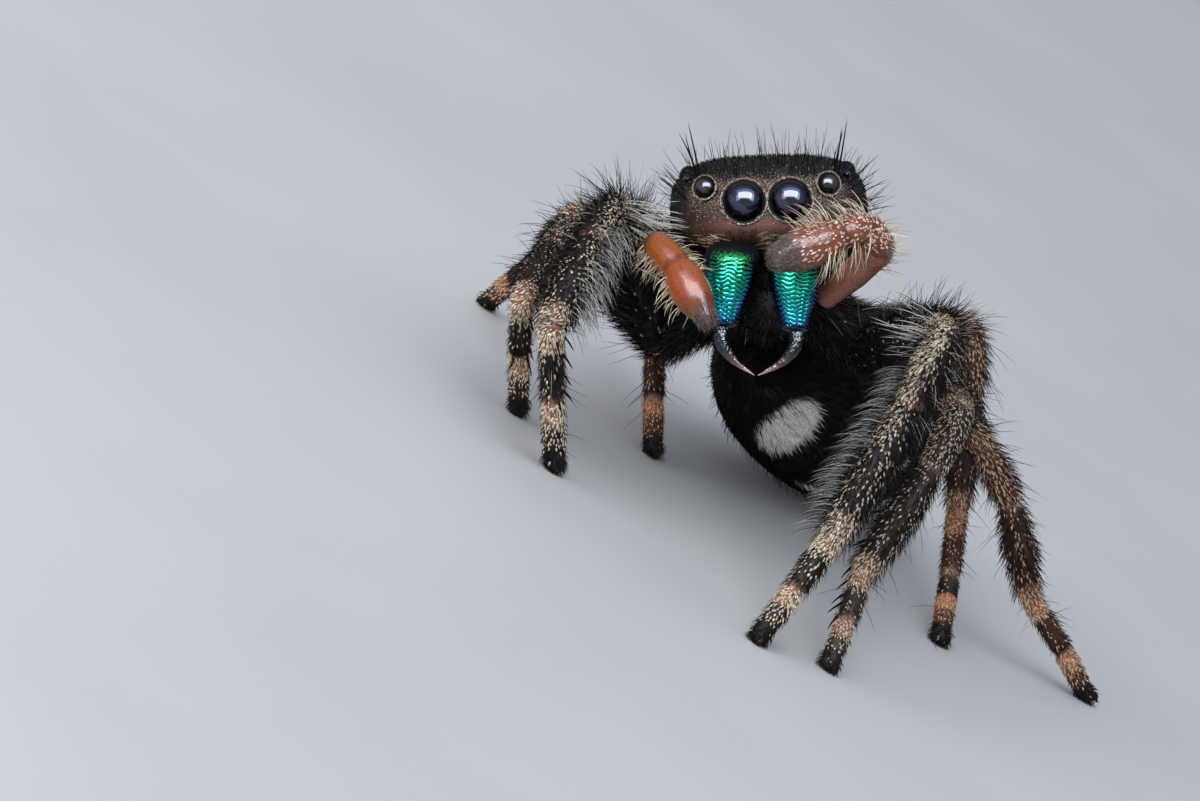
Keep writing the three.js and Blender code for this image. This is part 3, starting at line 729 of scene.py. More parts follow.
# The pinkish brown ring under the coat is a painted glow of light reflected inside the eye.
small_eye_painted_glow = small_lens.ramp(off_axis, [
    (0.0, colour(3, 2, 2)), (0.09, colour(6, 4, 4)), (0.14, colour(52, 34, 30)), (0.3, colour(46, 28, 25)),
    (0.42, colour(22, 14, 13)), (0.55, colour(5, 4, 4)), (1.0, colour(3, 2, 2)),
])
small_lens.set("Base Color", small_eye_painted_glow)
small_lens.set("Coat Weight", 1 - off_axis.within(0.35, 0.5))


def facing(place, axis):
    """The move that takes a shape made upright at the origin to a place, to face along an axis."""
    spin = Vector(axis).to_track_quat("Z", "Y").to_matrix().to_4x4()
    return Matrix.Translation(Vector(place) * MM) @ spin


def corners_of(piece):
    return np.array([v.co for v in piece.data.vertices]) / MM


def painted(piece, name, values):
    """Gives each corner of a piece a number that its finish reads."""
    piece.data.attributes.new(name, "FLOAT", "POINT").data.foreach_set("value", values)


eye_sites = []
for name, radius, place, slot, look in EYES:
    for side, hand in HANDS:
        centre = on_head([side * place[0], place[1], place[2]])
        axis = unit(np.array([side * look[0], look[1], look[2]]) @ head_turn.T)
        eye_sites.append((centre, radius, axis))
        lens = fresh("uv_sphere", segments=LENS_SIDES, ring_count=LENS_RINGS, radius=radius * MM)
        lens.name = f"lens_{name}_{hand}"
        lens.data.transform(facing(centre, axis))
        off = np.degrees(np.arccos(np.clip(unit(corners_of(lens) - centre) @ axis, -1, 1))) / 90
        painted(lens, "off_axis", off.clip(0, 1))
        bpy.ops.object.shade_smooth()
        lens.data.materials.append((main_lens if slot == "main_eyes" else small_lens).material)
        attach(lens, "root")
        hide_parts(f"eye_{name}_{hand}")

# ---------------------------------------------------------------- one skin over all
# The head shield, abdomen, waist, breast, legs and palps are one skin: each form is moulded,
# with a raised rim at each of the four front eyes, and all are joined without a seam. The cuticle
# has a fine leathery grain, and it is glossier on the palps and softer on the abdomen.
RIM_THICKNESS = 0.09
moulds = [form.moulded() for form in FLESH]
head_tree = BVHTree.FromObject(moulds[0], bpy.context.evaluated_depsgraph_get())
rim_sites = []
for centre, radius, axis in eye_sites[:FRONT_EYES]:
    hit = head_tree.ray_cast(Vector(centre) * MM, Vector(axis))
    height = hit[3] / MM if hit[0] is not None else 0.4 * radius
    height = min(height, 0.75 * radius)
    ring = sqrt(radius * radius - height * height)
    rim = fresh("torus", major_radius=(ring + 0.012) * MM, minor_radius=RIM_THICKNESS * radius * MM,
                major_segments=56, minor_segments=12)
    rim.data.transform(facing(centre + axis * height * 0.94, axis))
    moulds.append(rim)
    rim_sites.append((centre + axis * height, ring, axis))

limbs = bpy.data.collections.new("limbs")
bpy.context.scene.collection.children.link(limbs)
for mould in moulds[1:]:
    limbs.objects.link(mould)
skin = moulds[0]
skin.name = "skin"
bpy.ops.object.select_all(action="DESELECT")
skin.select_set(True)
bpy.context.view_layer.objects.active = skin
joined = skin.modifiers.new("joined", "BOOLEAN")
joined.operation = "UNION"
joined.solver = "MANIFOLD"
joined.operand_type = "COLLECTION"
joined.collection = limbs
bpy.ops.object.modifier_apply(modifier="joined")
for mould in moulds[1:]:
    bpy.data.objects.remove(mould)
bpy.data.collections.remove(limbs)

# each corner of the skin takes the colour and dullness of the form that it came from
flesh_places = np.concatenate([form.places.reshape(-1, 3) for form in FLESH])
flesh_tints = np.concatenate([form.tint.reshape(-1, 3) for form in FLESH])
flesh_dullness = np.concatenate([form.dullness.ravel() for form in FLESH])
finder = KDTree(len(flesh_places))
for k, place in enumerate(flesh_places):
    finder.insert(place, k)
finder.balance()
skin_places = corners_of(skin)
nearest = np.array([finder.find(place)[1] for place in skin_places])
tint = np.ones((len(skin_places), 4))
tint[:, :3] = flesh_tints[nearest]
for centre, radius, axis in eye_sites:
    tint[np.linalg.norm(skin_places - centre, axis=1) < radius + 0.04, :3] = RIM_SHADE
skin.data.attributes.new("tint", "FLOAT_COLOR", "POINT").data.foreach_set("color", tint.ravel())
painted(skin, "dullness", flesh_dullness[nearest])
skin.data.shade_smooth()
for name in [mark.name for mark in skin.data.attributes if mark.name.startswith("sharp")]:
    skin.data.attributes.remove(skin.data.attributes[name])

cuticle = Finish("cuticle", Specular_IOR_Level=0.18, Coat_Roughness=0.14, Coat_IOR=1.6)
place = cuticle.place()
fine_grain = cuticle.noise(26000.0, 3.0, place)
broad_grain = cuticle.noise(3200.0, 2.0, place)
dullness = cuticle.attribute("dullness")
# The skin is paler on the raised parts of the broad grain, and the hollows of the fine grain, low in the
# bump, are darkened as painted shade.
raised = (broad_grain - 0.5).within(0.05, 0.4) * 0.12
painted_shade_in_pits = (0.55 - fine_grain).within(0.0, 0.3) * 0.45
paler_on_raised_grain = cuticle.mixed(cuticle.attribute("tint", "Color"), (0.5, 0.42, 0.36, 1), raised)
cuticle.set("Base Color", cuticle.mixed(paler_on_raised_grain, (0.004, 0.003, 0.003, 1), painted_shade_in_pits))
cuticle.set("Roughness", dullness + (fine_grain - 0.5) * 0.25)
cuticle.set("Coat Weight", (0.34 - dullness).within(0.0, 0.3))
cuticle.bump(fine_grain + broad_grain * 0.6, 1.1e-5, 0.55)
skin.data.materials.clear()
skin.data.materials.append(cuticle.material)
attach(skin, "root")
flesh = ["carapace", "sternum", "mouthparts", "pedicel", "abdomen", "spinnerets"]
flesh += [f"palp_{hand}_{part}" for _, hand in HANDS for part in ("femur", "patella_tibia", "tarsus")]
leg_parts = ("coxa_trochanter", "femur", "patella_tibia", "metatarsus_tarsus")
flesh += [f"leg_{hand}_{pair}_{part}" for _, hand in HANDS for pair in range(1, 5) for part in leg_parts]
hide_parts(*flesh)

# ---------------------------------------------------------------- jaws
# The two jaws are stout polished barrels under the clypeus, with a metal shine that runs
# from green at the top through blue green to violet below, crossed by fine wavy ridges.
# Their top is painted near black for the shadow of the clypeus, and their grooves and sides
# are painted darker as shade.
JAW_LENGTH = 1.42
JAW_TOP_RADIUS, JAW_TIP_RADIUS = 0.44, 0.26
JAW_APART, JAW_SPLAY = 0.5, 0.05
JAW_DEPTH = 0.42
JAW_RINGS, JAW_SIDES = 200, 110
RIDGE_GAP = 0.066
RIDGE_DEPTH = 0.014
JAWS_AT = [-0.05, 0, -0.66]
jaw_turn = np.array(Matrix.Rotation(radians(5.5), 3, "Y"))


def on_jaws(place):
    return on_head(np.asarray(place, float) @ jaw_turn.T + JAWS_AT)


def from_jaws(place):
    """The way back: a place on the head in the jaws' own frame."""
    return ((place - face) @ head_turn - JAWS_AT) @ jaw_turn


shine = Finish("jaw_shine", Metallic=0.92, Coat_Roughness=0.1)
place = shine.place()
low = shine.attribute("fall")
outer = shine.attribute("edge")
groove = shine.attribute("groove")
drift = shine.noise(2600.0, 3.0, place)
speck = shine.noise(30000.0, 2.0, place)
# Towards the sides the hue runs on to violet and near black: partly the jaw's own violet, partly painted
# shade where it turns away.
hue = 0.17 + low * 0.58 + outer ** 2.0 * 0.46 + (drift - 0.5) * 0.16
hues = shine.ramp(hue, [
    (0.0, colour(8, 20, 16)), (0.18, colour(10, 76, 54)), (0.29, colour(60, 186, 96)),
    (0.36, colour(22, 186, 126)), (0.5, colour(16, 196, 164)), (0.64, colour(30, 190, 206)),
    (0.76, colour(22, 122, 204)), (0.88, colour(40, 48, 150)), (1.0, colour(14, 8, 44)),
])
# The top of each jaw, under the clypeus, is painted near black with a speckled edge: painted shadow of the
# clypeus.
top = 1 - (low - outer * 0.07 + (drift - 0.5) * 0.16 + (speck - 0.5) * 0.5).within(0.16, 0.36)
# Mixed to near black: painted shadow at the top, painted shade in the grooves between the ridges and at the
# sides, and the jaw's own dark end above the fang.
shade = low.within(0.88, 0.985) * 0.95 + top * 1.02 + groove * 0.85 + outer.within(0.72, 1.0) * 0.9
shade = shade.within(0.0, 1.0)
shine.set("Base Color", shine.mixed(hues, (0.006, 0.006, 0.007, 1), shade))
shine.set("Roughness", 0.2 + (speck - 0.5) * 0.2 + top * 0.45)
shine.set("Coat Weight", 0.35 - top * 0.35)
shine.bump(speck, 0.4e-5, 0.5)


def jaw_ridges(share, turn, side):
    """The ridges across a jaw: 1 on a crest and 0 in a groove."""
    fall = share * JAW_LENGTH
    waver = 0.4 * np.sin(3 * turn + side + 2.3 * fall) + 0.27 * np.sin(7 * turn + 2 - 3.7 * fall)
    waver = waver + 0.2 * np.sin(13 * turn + 5 * fall) + 0.1 * np.sin(23 * turn - 9 * fall)
    return 1 - np.abs(np.sin(pi * (fall / RIDGE_GAP + waver))) ** 3


def jaw_grooves(share, turn, side):
    """How deep the grooves are: none at the smooth top and tip of the jaw."""
    ridged = smooth(share, 0.2, 0.32) * (1 - smooth(share, 0.93, 0.99))
    return (1 - jaw_ridges(share, turn, side)) * ridged


def jaw_middle(share, side):
    """Where the middle of a jaw is across the head, and how far back it is."""
    tucked = 0.3 * (1 - smooth(share, -0.05, 0.26))
    across = side * (JAW_APART + JAW_SPLAY * share * JAW_LENGTH)
    return across, JAW_DEPTH + tucked - 0.08 * np.sin(pi * share)


def jaw_width(share):
    return JAW_TOP_RADIUS + (JAW_TIP_RADIUS - JAW_TOP_RADIUS) * smooth(share, 0.35, 1)


def jaw_shape(share, turn, side):
    """A place on a jaw: the share runs from 0 at its domed top to 1 at its tip."""
    swell = 0.86 + 0.14 * np.sin(pi * np.minimum(1, 0.3 + 0.75 * share))
    dome = 0.5 + 0.5 * np.sqrt(1 - (1 - np.minimum(1, share / 0.16)) ** 2)
    close = np.sqrt(1 - (1 - np.minimum(1, (1 - share) / 0.07)) ** 2)
    radius = (jaw_width(share) * dome * swell - RIDGE_DEPTH * jaw_grooves(share, turn, side)) * close
    across, back = jaw_middle(share, side)
    x, y = across + radius * np.cos(turn), back + radius * np.sin(turn)
    return np.stack(np.broadcast_arrays(x, y, -share * JAW_LENGTH), axis=-1)


for side, hand in HANDS:
    share = np.concatenate([np.linspace(0, 0.93, JAW_RINGS - 10),
                            0.93 + 0.07 * np.sin(np.linspace(0.1, 1.45, 10))])
    turn = np.arange(JAW_SIDES) / JAW_SIDES * 2 * pi
    rings = jaw_shape(share[:, None], turn[None, :], side)
    ends = np.stack([rings[0].mean(0), rings[-1].mean(0) - [0, 0, 0.003]])
    jaw = Form(f"jaw_{hand}", on_jaws(rings), on_jaws(ends)).moulded()
    jaw.data.shade_smooth()
    x, y, z = from_jaws(corners_of(jaw)).T
    fall = (-z / JAW_LENGTH).clip(0, 1)
    across, back = jaw_middle(fall, side)
    painted(jaw, "fall", fall)
    painted(jaw, "groove", jaw_grooves(fall, np.arctan2(y - back, x - across), side))
    painted(jaw, "edge", smooth(np.abs(x - across) / jaw_width(fall), 0.35, 1.0))
    jaw.data.materials.append(shine.material)
    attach(jaw, "root")
    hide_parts(f"chelicera_{hand}")

# ---------------------------------------------------------------- fangs
# Each fang is a hard curved horn, nearly black at its root and clear reddish at its tip,
# hinged under the jaw and folded in to meet its fellow.
FANG_DROP = 0.71
FANG_ROUTE = [
    (0.58, 0.42, -0.12 / FANG_DROP), (0.616, 0.37, 0.15), (0.58, 0.37, 0.35),
    (0.44, 0.4, 0.62), (0.28, 0.42, 0.8), (0.03, 0.42, 1),
]
FANG_RADII = [(0.115, 0.12), (0.12, 0.112), (0.112, 0.08), (0.08, 0.045), (0.045, 0.007)]
FANG_SIDES = 28
FANG_SPACING = 0.02
horn = Finish("fang_horn", Roughness=0.1, IOR=1.6, Specular_IOR_Level=0.7)
reach = horn.attribute("reach")
streak = horn.noise(15000.0, 2.0)
horn.set("Base Color", horn.ramp(reach + (streak - 0.5) * 0.1, [
    (0.0, colour(6, 4, 5)), (0.5, colour(16, 9, 10)), (0.74, colour(84, 52, 48)),
    (1.0, colour(214, 164, 152)),
]))
horn.bump(streak, 4.0e-5, 1.0)
for side, hand in HANDS:
    route = on_jaws([[side * across, back, -JAW_LENGTH - drop * FANG_DROP]
                     for across, back, drop in FANG_ROUTE])
    fang = tube(f"horn_{hand}", route, FANG_RADII, np.array([0, 0.3, 1.0]), FANG_SIDES, FANG_SPACING,
                narrow=0.0, bend=0.1).moulded()
    fang.data.shade_smooth()
    drop = (-from_jaws(corners_of(fang))[:, 2] - JAW_LENGTH) / FANG_DROP
    painted(fang, "reach", drop.clip(0, 1))
    fang.data.materials.append(horn.material)
    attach(fang, "root")
    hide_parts(f"fang_{hand}")

# ---------------------------------------------------------------- hairs and scales
# Every hair is a thin solid lash and every scale a flat solid blade, rooted in the skin and
# lying the way the coat lies: backwards on the body and towards the toe on a limb.
SEED = 20
HAIR_SINK = 0.012
SCALE_SINK = 0.004
EYE_GAP = 0.02
ON_SKIN = 0.012
FLOOR_GAP = 0.004
PATCH = 0.003
skin_tree = BVHTree.FromObject(skin, bpy.context.evaluated_depsgraph_get())


class Roots:
    """Places on the skin where hairs grow, with the way out of the skin and the way they lie.

    The form is its number in the flesh, and the row and column are steps along and around it.
    """

    FIELDS = ("at", "out", "lie", "form", "row", "column")

    def __init__(self, **fields):
        self.__dict__.update(fields)

    def __len__(self):
        return len(self.at)

    def chosen(self, mask):
        return Roots(**{name: getattr(self, name)[mask] for name in self.FIELDS})

    def note(self, name):
        """The value that each root's own form notes at its ring."""
        values = np.zeros(len(self))
        for k, form in enumerate(FLESH):
            here = self.form == k
            if here.any() and name in form.notes:
                noted = np.asarray(form.notes[name], float)
                values[here] = np.interp(self.row[here], np.arange(len(noted)), noted)
        return values

    def nearest(self, grid_of):
        """The value nearest to each root in its own form's grid."""
        values = np.zeros((len(self), 3))
        for k, form in enumerate(FLESH):
            here = self.form == k
            if here.any():
                row = np.rint(self.row[here]).astype(int).clip(0, len(form.places) - 1)
                column = np.rint(self.column[here]).astype(int) % form.places.shape[1]
                values[here] = grid_of(form)[row, column]
        return values

    def tint(self):
        """The colour of the skin at each root."""
        return self.nearest(lambda form: form.tint)

    def own(self):
        """The place of each root in its form's own frame."""
        return self.nearest(lambda form: form.notes["own"])


def gathered(lots):
    """Several lots of roots as one."""
    return Roots(**{name: np.concatenate([getattr(lot, name) for lot in lots]) for name in Roots.FIELDS})


def at_corners(form, rows, columns):
    """Roots at corners of a form's rings."""
    return Roots(at=form.places[rows, columns], out=form.out[rows, columns], lie=form.lie[rows, columns],
                 form=np.full(len(rows), FLESH.index(form)), row=np.array(rows), column=np.array(columns))


def rooted(rng, forms, density):
    """Roots scattered over some forms, so many to the square millimetre, where the skin shows."""
    lots = []
    for form in forms:
        thick = density(form) if callable(density) else density
        thick = thick + np.zeros(form.places.shape[:2])
        places, outs, lies, thick = (np.concatenate([grid, grid[:, :1]], 1)
                                     for grid in (form.places, form.out, form.lie, thick))
        across = np.cross(places[1:, 1:] - places[:-1, :-1], places[1:, :-1] - places[:-1, 1:])
        area = 0.5 * np.linalg.norm(across, axis=2)
        want = area * (thick[1:, 1:] + thick[:-1, :-1] + thick[1:, :-1] + thick[:-1, 1:]) / 4
        number = np.floor(want + rng.random(want.shape)).astype(int).clip(0)
        row, column = np.nonzero(number)
        times = number[row, column]
        row, column = np.repeat(row, times), np.repeat(column, times)
        down, right = rng.random((2, len(row)))

        def between(grid):
            low = grid[row, column] * (1 - right)[:, None] + grid[row, column + 1] * right[:, None]
            high = grid[row + 1, column] * (1 - right)[:, None] + grid[row + 1, column + 1] * right[:, None]
            return low * (1 - down)[:, None] + high * down[:, None]

        out = unit(between(outs))
        lie = between(lies)
        lie = unit(lie - (lie * out).sum(1, keepdims=True) * out)
        lots.append(Roots(at=between(places), out=out, lie=lie, form=np.full(len(row), FLESH.index(form)),
                          row=row + down, column=column + right))
    roots = gathered(lots)
    shown = np.zeros(len(roots), bool)
    for k, at in enumerate(roots.at * MM):
        shown[k] = skin_tree.find_nearest(Vector(at), ON_SKIN * MM)[0] is not None
    for centre, radius, axis in eye_sites:
        shown &= np.linalg.norm(roots.at - centre, axis=1) > radius + EYE_GAP
    return roots.chosen(shown)


def swung(rng, roots, swing):
    """The lie of each hair, turned at random to one side or the other."""
    turn = np.radians(rng.normal(0, swing, len(roots)))[:, None]
    return roots.lie * np.cos(turn) + np.cross(roots.out, roots.lie) * np.sin(turn)


def raised(roots, lie, angle):
    """The way along the lie, raised off the skin by so many degrees."""
    return lie * np.cos(np.radians(angle)) + roots.out * np.sin(np.radians(angle))


def lashes(rng, roots, length, width, lift=0, droop=0, swing=12, rings=2, sides=3, start=None, end=None):
    """Hairs as tapered rods. They leave the skin at one angle, in degrees, and bend to another,
    or they go from one given way to another."""
    n = len(roots)
    length, width, lift, droop = (np.broadcast_to(v, n)[:, None] for v in (length, width, lift, droop))
    lie = swung(rng, roots, swing)
    if start is None:
        start, end = raised(roots, lie, lift), raised(roots, lie, droop)
    t = np.linspace(0, 1, rings + 1)[:, None, None]
    spine = (roots.at - HAIR_SINK * roots.out) + length * (start * (t - t * t / 2) + end * t * t / 2)
    way = unit(start * (1 - t) + end * t)
    first = unit(np.cross(way, roots.out + 0.013))
    second = np.cross(way, first)
    angles = np.arange(sides) / sides * 2 * pi
    taper = 0.5 * width * (1 - 0.75 * t[:-1] ** 1.5)
    rim = np.cos(angles)[None, None, :, None] * first[:-1, :, None]
    rim = rim + np.sin(angles)[None, None, :, None] * second[:-1, :, None]
    rods = spine[:-1, :, None] + taper[..., None] * rim
    places = np.concatenate([rods.transpose(1, 0, 2, 3).reshape(n, -1, 3), spine[-1][:, None]], axis=1)
    faces = [tuple(reversed(range(sides)))]
    for k in range(rings - 1):
        low, high = k * sides, (k + 1) * sides
        faces += [(low + j, low + (j + 1) % sides, high + (j + 1) % sides, high + j) for j in range(sides)]
    low, tip = (rings - 1) * sides, rings * sides
    faces += [(low + j, low + (j + 1) % sides, tip) for j in range(sides)]
    step = np.append(np.repeat(np.arange(rings) / rings, sides), 1.0)
    around = np.append(np.tile((np.arange(sides) + 0.5) / sides, rings), 0.5)
    return places, faces, np.stack([around, step], 1)


def blades(rng, roots, length, width, lift, swing=14):
    """Scales as flat pointed leaves with a raised middle."""
    n = len(roots)
    length, width, lift = (np.broadcast_to(v, n)[:, None] for v in (length, width, lift))
    way = raised(roots, swung(rng, roots, swing), lift)
    side = unit(np.cross(roots.out, way))
    top = np.cross(way, side)
    base = roots.at - SCALE_SINK * roots.out
    widest = base + 0.42 * length * way
    places = np.stack([
        base, widest + 0.5 * width * side, widest + 0.2 * width * top, widest - 0.5 * width * side,
        widest - 0.06 * width * top, base + length * way,
    ], axis=1)
    faces = [(0, 2, 1), (0, 3, 2), (0, 4, 3), (0, 1, 4), (5, 1, 2), (5, 2, 3), (5, 3, 4), (5, 4, 1)]
    flat = [(0.5, 0), (1, 0.4), (0.5, 0.5), (0, 0.4), (0.5, 0.3), (0.5, 1)]
    return places, faces, np.array(flat)


def coat(name, roots, shapes, tints, finish):
    """One piece of coat: all its hairs or scales in one mesh, each with its patch on the map."""
    places, faces, patch = shapes
    n, m = places.shape[:2]
    places = places.copy()
    places[..., 2] = places[..., 2].clip(FLOOR_GAP)
    corners = np.concatenate([np.array(face) for face in faces])
    sizes = np.array([len(face) for face in faces])
    loops = (corners[None, :] + m * np.arange(n)[:, None]).ravel()
    starts = np.concatenate([[0], np.cumsum(np.tile(sizes, n))[:-1]])
    mesh = bpy.data.meshes.new(name)
    mesh.vertices.add(n * m)
    mesh.vertices.foreach_set("co", (places * MM).ravel().astype(np.float32))
    mesh.loops.add(len(loops))
    mesh.loops.foreach_set("vertex_index", loops.astype(np.int32))
    mesh.polygons.add(n * len(faces))
    mesh.polygons.foreach_set("loop_start", starts.astype(np.int32))
    mesh.polygons.foreach_set("use_smooth", np.ones(n * len(faces), bool))
    mesh.update(calc_edges=True)

    # the skin's own unwrap: one strip for each form, its rings up and its turns across
    used = np.unique(roots.form)
    strip = np.searchsorted(used, roots.form)
    count = np.array([len(form.places) for form in FLESH])[roots.form]
    around = np.array([form.places.shape[1] for form in FLESH])[roots.form]
    spot = np.stack([roots.column / around, (strip + 0.04 + 0.92 * roots.row / count) / len(used)], axis=1)
    low, high = spot.min(0), spot.max(0)
    spot = PATCH + (1 - 2 * PATCH) * (spot - low) / np.maximum(high - low, 1e-6)
    spread = (spot[:, None] + PATCH * 0.95 * (patch - 0.5)[None]).reshape(-1, 2)
    uv = mesh.uv_layers.new(name="OFBake")
    uv.data.foreach_set("uv", spread[loops].ravel().astype(np.float32))

    full = np.ones((n, m, 4))
    full[..., :3] = tints[:, None]
    full = full.ravel().astype(np.float32)
    mesh.attributes.new("tint", "FLOAT_COLOR", "POINT").data.foreach_set("color", full)
    piece = bpy.data.objects.new(name, mesh)
    bpy.context.scene.collection.objects.link(piece)
    mesh.materials.append(finish.material)
    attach(piece, "root")


def shades(rng, n, *stops, spread=0.25):
    """A random colour for each hair between some colours, with its own lightness."""
    stops = np.array([stop[:3] for stop in stops])
    pick = rng.random(n) * (len(stops) - 1)
    low = np.floor(pick).astype(int).clip(0, len(stops) - 2)
    share = (pick - low)[:, None]
    mixed = stops[low] * (1 - share) + stops[low + 1] * share
    return mixed * np.exp(rng.normal(0, spread, n))[:, None].clip(0.4, 1.8)


def hair_finish(name, dullness, specular):
    made = Finish(name, Specular_IOR_Level=specular)
    strand = made.attribute("tint", "Color")
    mottle = made.noise(15000.0, 1.0)
    dark = (mottle - 0.5).within(0.0, 0.3) * 0.3
    made.set("Base Color", made.mixed(strand, (0.0, 0.0, 0.0, 1), dark))
    made.set("Roughness", dullness + (mottle - 0.5) * 0.2)
    return made


black_hair = hair_finish("black_hair", 0.55, 0.05)
pale_hair = hair_finish("pale_hair", 0.4, 0.5)
scale_sheen = hair_finish("scale_sheen", 0.34, 0.55)

# ---------------------------------------------------------------- coat of the head
# The head wears a fine black velvet, with dull bronze scales between and round the eyes,
# a ring of silver scales round each front eye, and upright hairs along the crown.
rng = np.random.default_rng(SEED)
JET = colour(13, 11, 11)
SOOT = colour(30, 26, 25)
BRONZE = colour(204, 178, 148)
DARK_BRONZE = colour(104, 82, 66)
CREAM = colour(238, 222, 184)
SILVER = colour(244, 236, 216)
VELVET_HAIR = 0.013
x, y, z = np.moveaxis(head_rings, -1, 0)
seen = 1.0 * (z > -0.95)
velvet_roots = rooted(rng, [head_form], seen * (470 + 330 * on_face * (1 - 0.5 * bronze)))
n = len(velvet_roots)
own_x, own_y, own_z = velvet_roots.own().T
near = 1 - smooth(own_y, 0.5, 1.8)
shoulder = smooth(np.abs(own_x), 0.9, 1.15) * smooth(own_z, 0.25, 0.4)
low_face = near * (1 - smooth(own_z, 0.1, 0.42))
size = (0.13 - 0.075 * near * (1 - shoulder)) * rng.uniform(0.8, 1.25, n)
tone = shades(rng, n, colour(9, 8, 7), colour(24, 20, 16))
tone = tone + 0.85 * low_face[:, None] * (velvet_roots.tint() - tone)
coat("head_velvet", velvet_roots, lashes(rng, velvet_roots, size, VELVET_HAIR, 34, 10, 16), tone,
     black_hair)

rim_gap = np.min([np.linalg.norm(head_form.places - centre, axis=-1) - radius
                  for centre, radius, axis in eye_sites[:FRONT_EYES]], axis=0)
by_eyes = 1.7 * on_face * np.exp(-(rim_gap.clip(0) / 0.19) ** 2) * (0.3 + 0.7 * smooth(z, -0.3, 0.1))
by_eyes = by_eyes + 0.1 * bronze * (1 - under)
dots = 14 * seen + 240 * on_face * smooth(z, 0.3, 0.42)
bronze_roots = rooted(rng, [head_form], 1200 * by_eyes + dots + 40 * under)
n = len(bronze_roots)
size = rng.uniform(0.03, 0.05, n)
coat("head_scales", bronze_roots, blades(rng, bronze_roots, size, 0.42 * size, 14, 26),
     shades(rng, n, DARK_BRONZE, BRONZE, spread=0.35), scale_sheen)


def nearest_corners(grid, places):
    """The rows and columns of a grid of places that are nearest to some places."""
    flat = grid.reshape(-1, 3)
    nearest = np.array([np.argmin(((flat - place) ** 2).sum(1)) for place in places])
    return nearest // grid.shape[1], nearest % grid.shape[1]


# rings of pale scales laid round the front lenses, palest on their lower side
RING_SPACING = 0.0075
RING_GAP = 0.028
ring_lots, low_side = [], []
for (centre, ring, axis), (eye_centre, _, _) in zip(rim_sites, eye_sites):
    n = int(2 * pi * ring / RING_SPACING)
    first = unit(np.cross(axis, [0.1, 0.2, 1.0]))
    second = np.cross(axis, first)
    angle = np.linspace(0, 2 * pi, n, endpoint=False) + rng.normal(0, 0.06, n)
    outwards = np.cos(angle)[:, None] * first + np.sin(angle)[:, None] * second
    at = centre + outwards * (ring + RING_GAP + rng.normal(0, 0.004, n)[:, None]) + RING_GAP / 2 * axis
    lot = at_corners(head_form, *nearest_corners(head_form.places, at))
    lot.at, lot.out, lot.lie = at, unit(outwards * 0.5 + axis), np.cross(axis, outwards)
    ring_lots.append(lot)
    above = head_turn @ [-0.3 * np.sign(eye_centre[0]), 0, 1.0]
    low_side.append(smooth(-(outwards @ above), -0.75, 0.1))
ring_roots = gathered(ring_lots)
n = len(ring_roots)
is_main = np.repeat([1.0, 1.0, 0.0, 0.0], [len(lot) for lot in ring_lots])
low_side = np.concatenate(low_side)
size = rng.uniform(0.045, 0.07, n)
tone = shades(rng, n, colour(122, 100, 80), colour(188, 164, 132), spread=0.3)
silver = shades(rng, n, SILVER, colour(214, 200, 174), spread=0.15)
tone = tone + ((0.35 + 0.65 * is_main) * low_side)[:, None] * (silver - tone)
coat("eye_ring_scales", ring_roots, blades(rng, ring_roots, size, 0.014 + 0.012 * is_main, 8, 12), tone,
     scale_sheen)

# upright hairs along the crown and standing off the sides of the head
upward = (head_form.out * (head_turn @ unit(np.array([0, -0.15, 1.0])))).sum(-1)
crown = (44 * smooth(upward, 0.8, 0.9) * smooth(z, 0.4, 0.5) * (1 - smooth(y, 1.2, 1.8))
         + 20 * smooth(np.abs(x), 0.98, 1.08) * smooth(z, 0.3, 0.42) * (y < 1.4)
         + 22 * (z > -0.9) * smooth(y, 0.9, 1.2) * (y < 4.0) * (upward < 0.8)
         + 8 * smooth(y, 1.2, 1.8) * (y < 4.0))
crown_roots = rooted(rng, [head_form], crown)
n = len(crown_roots)
upright = unit(crown_roots.out + 0.55 * (head_turn @ [0, -0.25, 0.6]) + rng.normal(0, 0.2, (n, 3)))
bent = unit(upright + 0.35 * (head_turn @ [0, -0.2, 0.5]) + rng.normal(0, 0.28, (n, 3)))
shapes = lashes(rng, crown_roots, rng.uniform(0.26, 0.66, n), 0.012, rings=6, start=upright, end=bent)
coat("crown_hairs", crown_roots, shapes, shades(rng, n, JET, SOOT), black_hair)

# stout bristles: each has its place and its way in the head's own frame, the tall ones first
TALL_BRISTLES = 6
BRISTLES = [
    ((-1.14, 0.75, 0.58), (-0.26, -0.2, 1)), ((-1.18, 0.78, 0.58), (-0.3, -0.26, 1)),
    ((-1.1, 0.8, 0.6), (-0.2, -0.2, 1)), ((1.18, 0.75, 0.58), (0.24, -0.2, 1)),
    ((1.23, 0.78, 0.58), (0.2, -0.26, 1)), ((1.14, 0.8, 0.6), (0.3, -0.2, 1)),
    ((-1.42, 0.8, 0.2), (-1, -0.3, 0.8)), ((-1.42, 0.84, 0.26), (-1, -0.26, 0.72)),
    ((-1.42, 0.76, 0.12), (-1, -0.26, 0.94)), ((1.42, 0.9, 0.36), (1, -0.2, 0.95)),
    ((1.44, 0.84, 0.26), (1, -0.3, 0.6)), ((1.44, 0.9, 0.1), (1, -0.3, 0.42)),
    ((1.44, 0.84, -0.06), (1, -0.3, 0.36)), ((1.44, 0.9, -0.2), (1, -0.3, 0.2)),
    ((-1.42, 0.9, 0.34), (-0.9, -0.26, 1)),
]
n = len(BRISTLES)
bristle_roots = at_corners(head_form, *nearest_corners(head_rings, [place for place, way in BRISTLES]))
ways = unit(np.array([way for place, way in BRISTLES], float)) @ head_turn.T
tall = np.arange(n) < TALL_BRISTLES
size = np.where(tall, 1.0, 0.66) * rng.uniform(0.8, 1.1, n)
bent = unit(ways + rng.normal(0, 0.1, ways.shape))
width = np.where(tall, 0.036, 0.023)
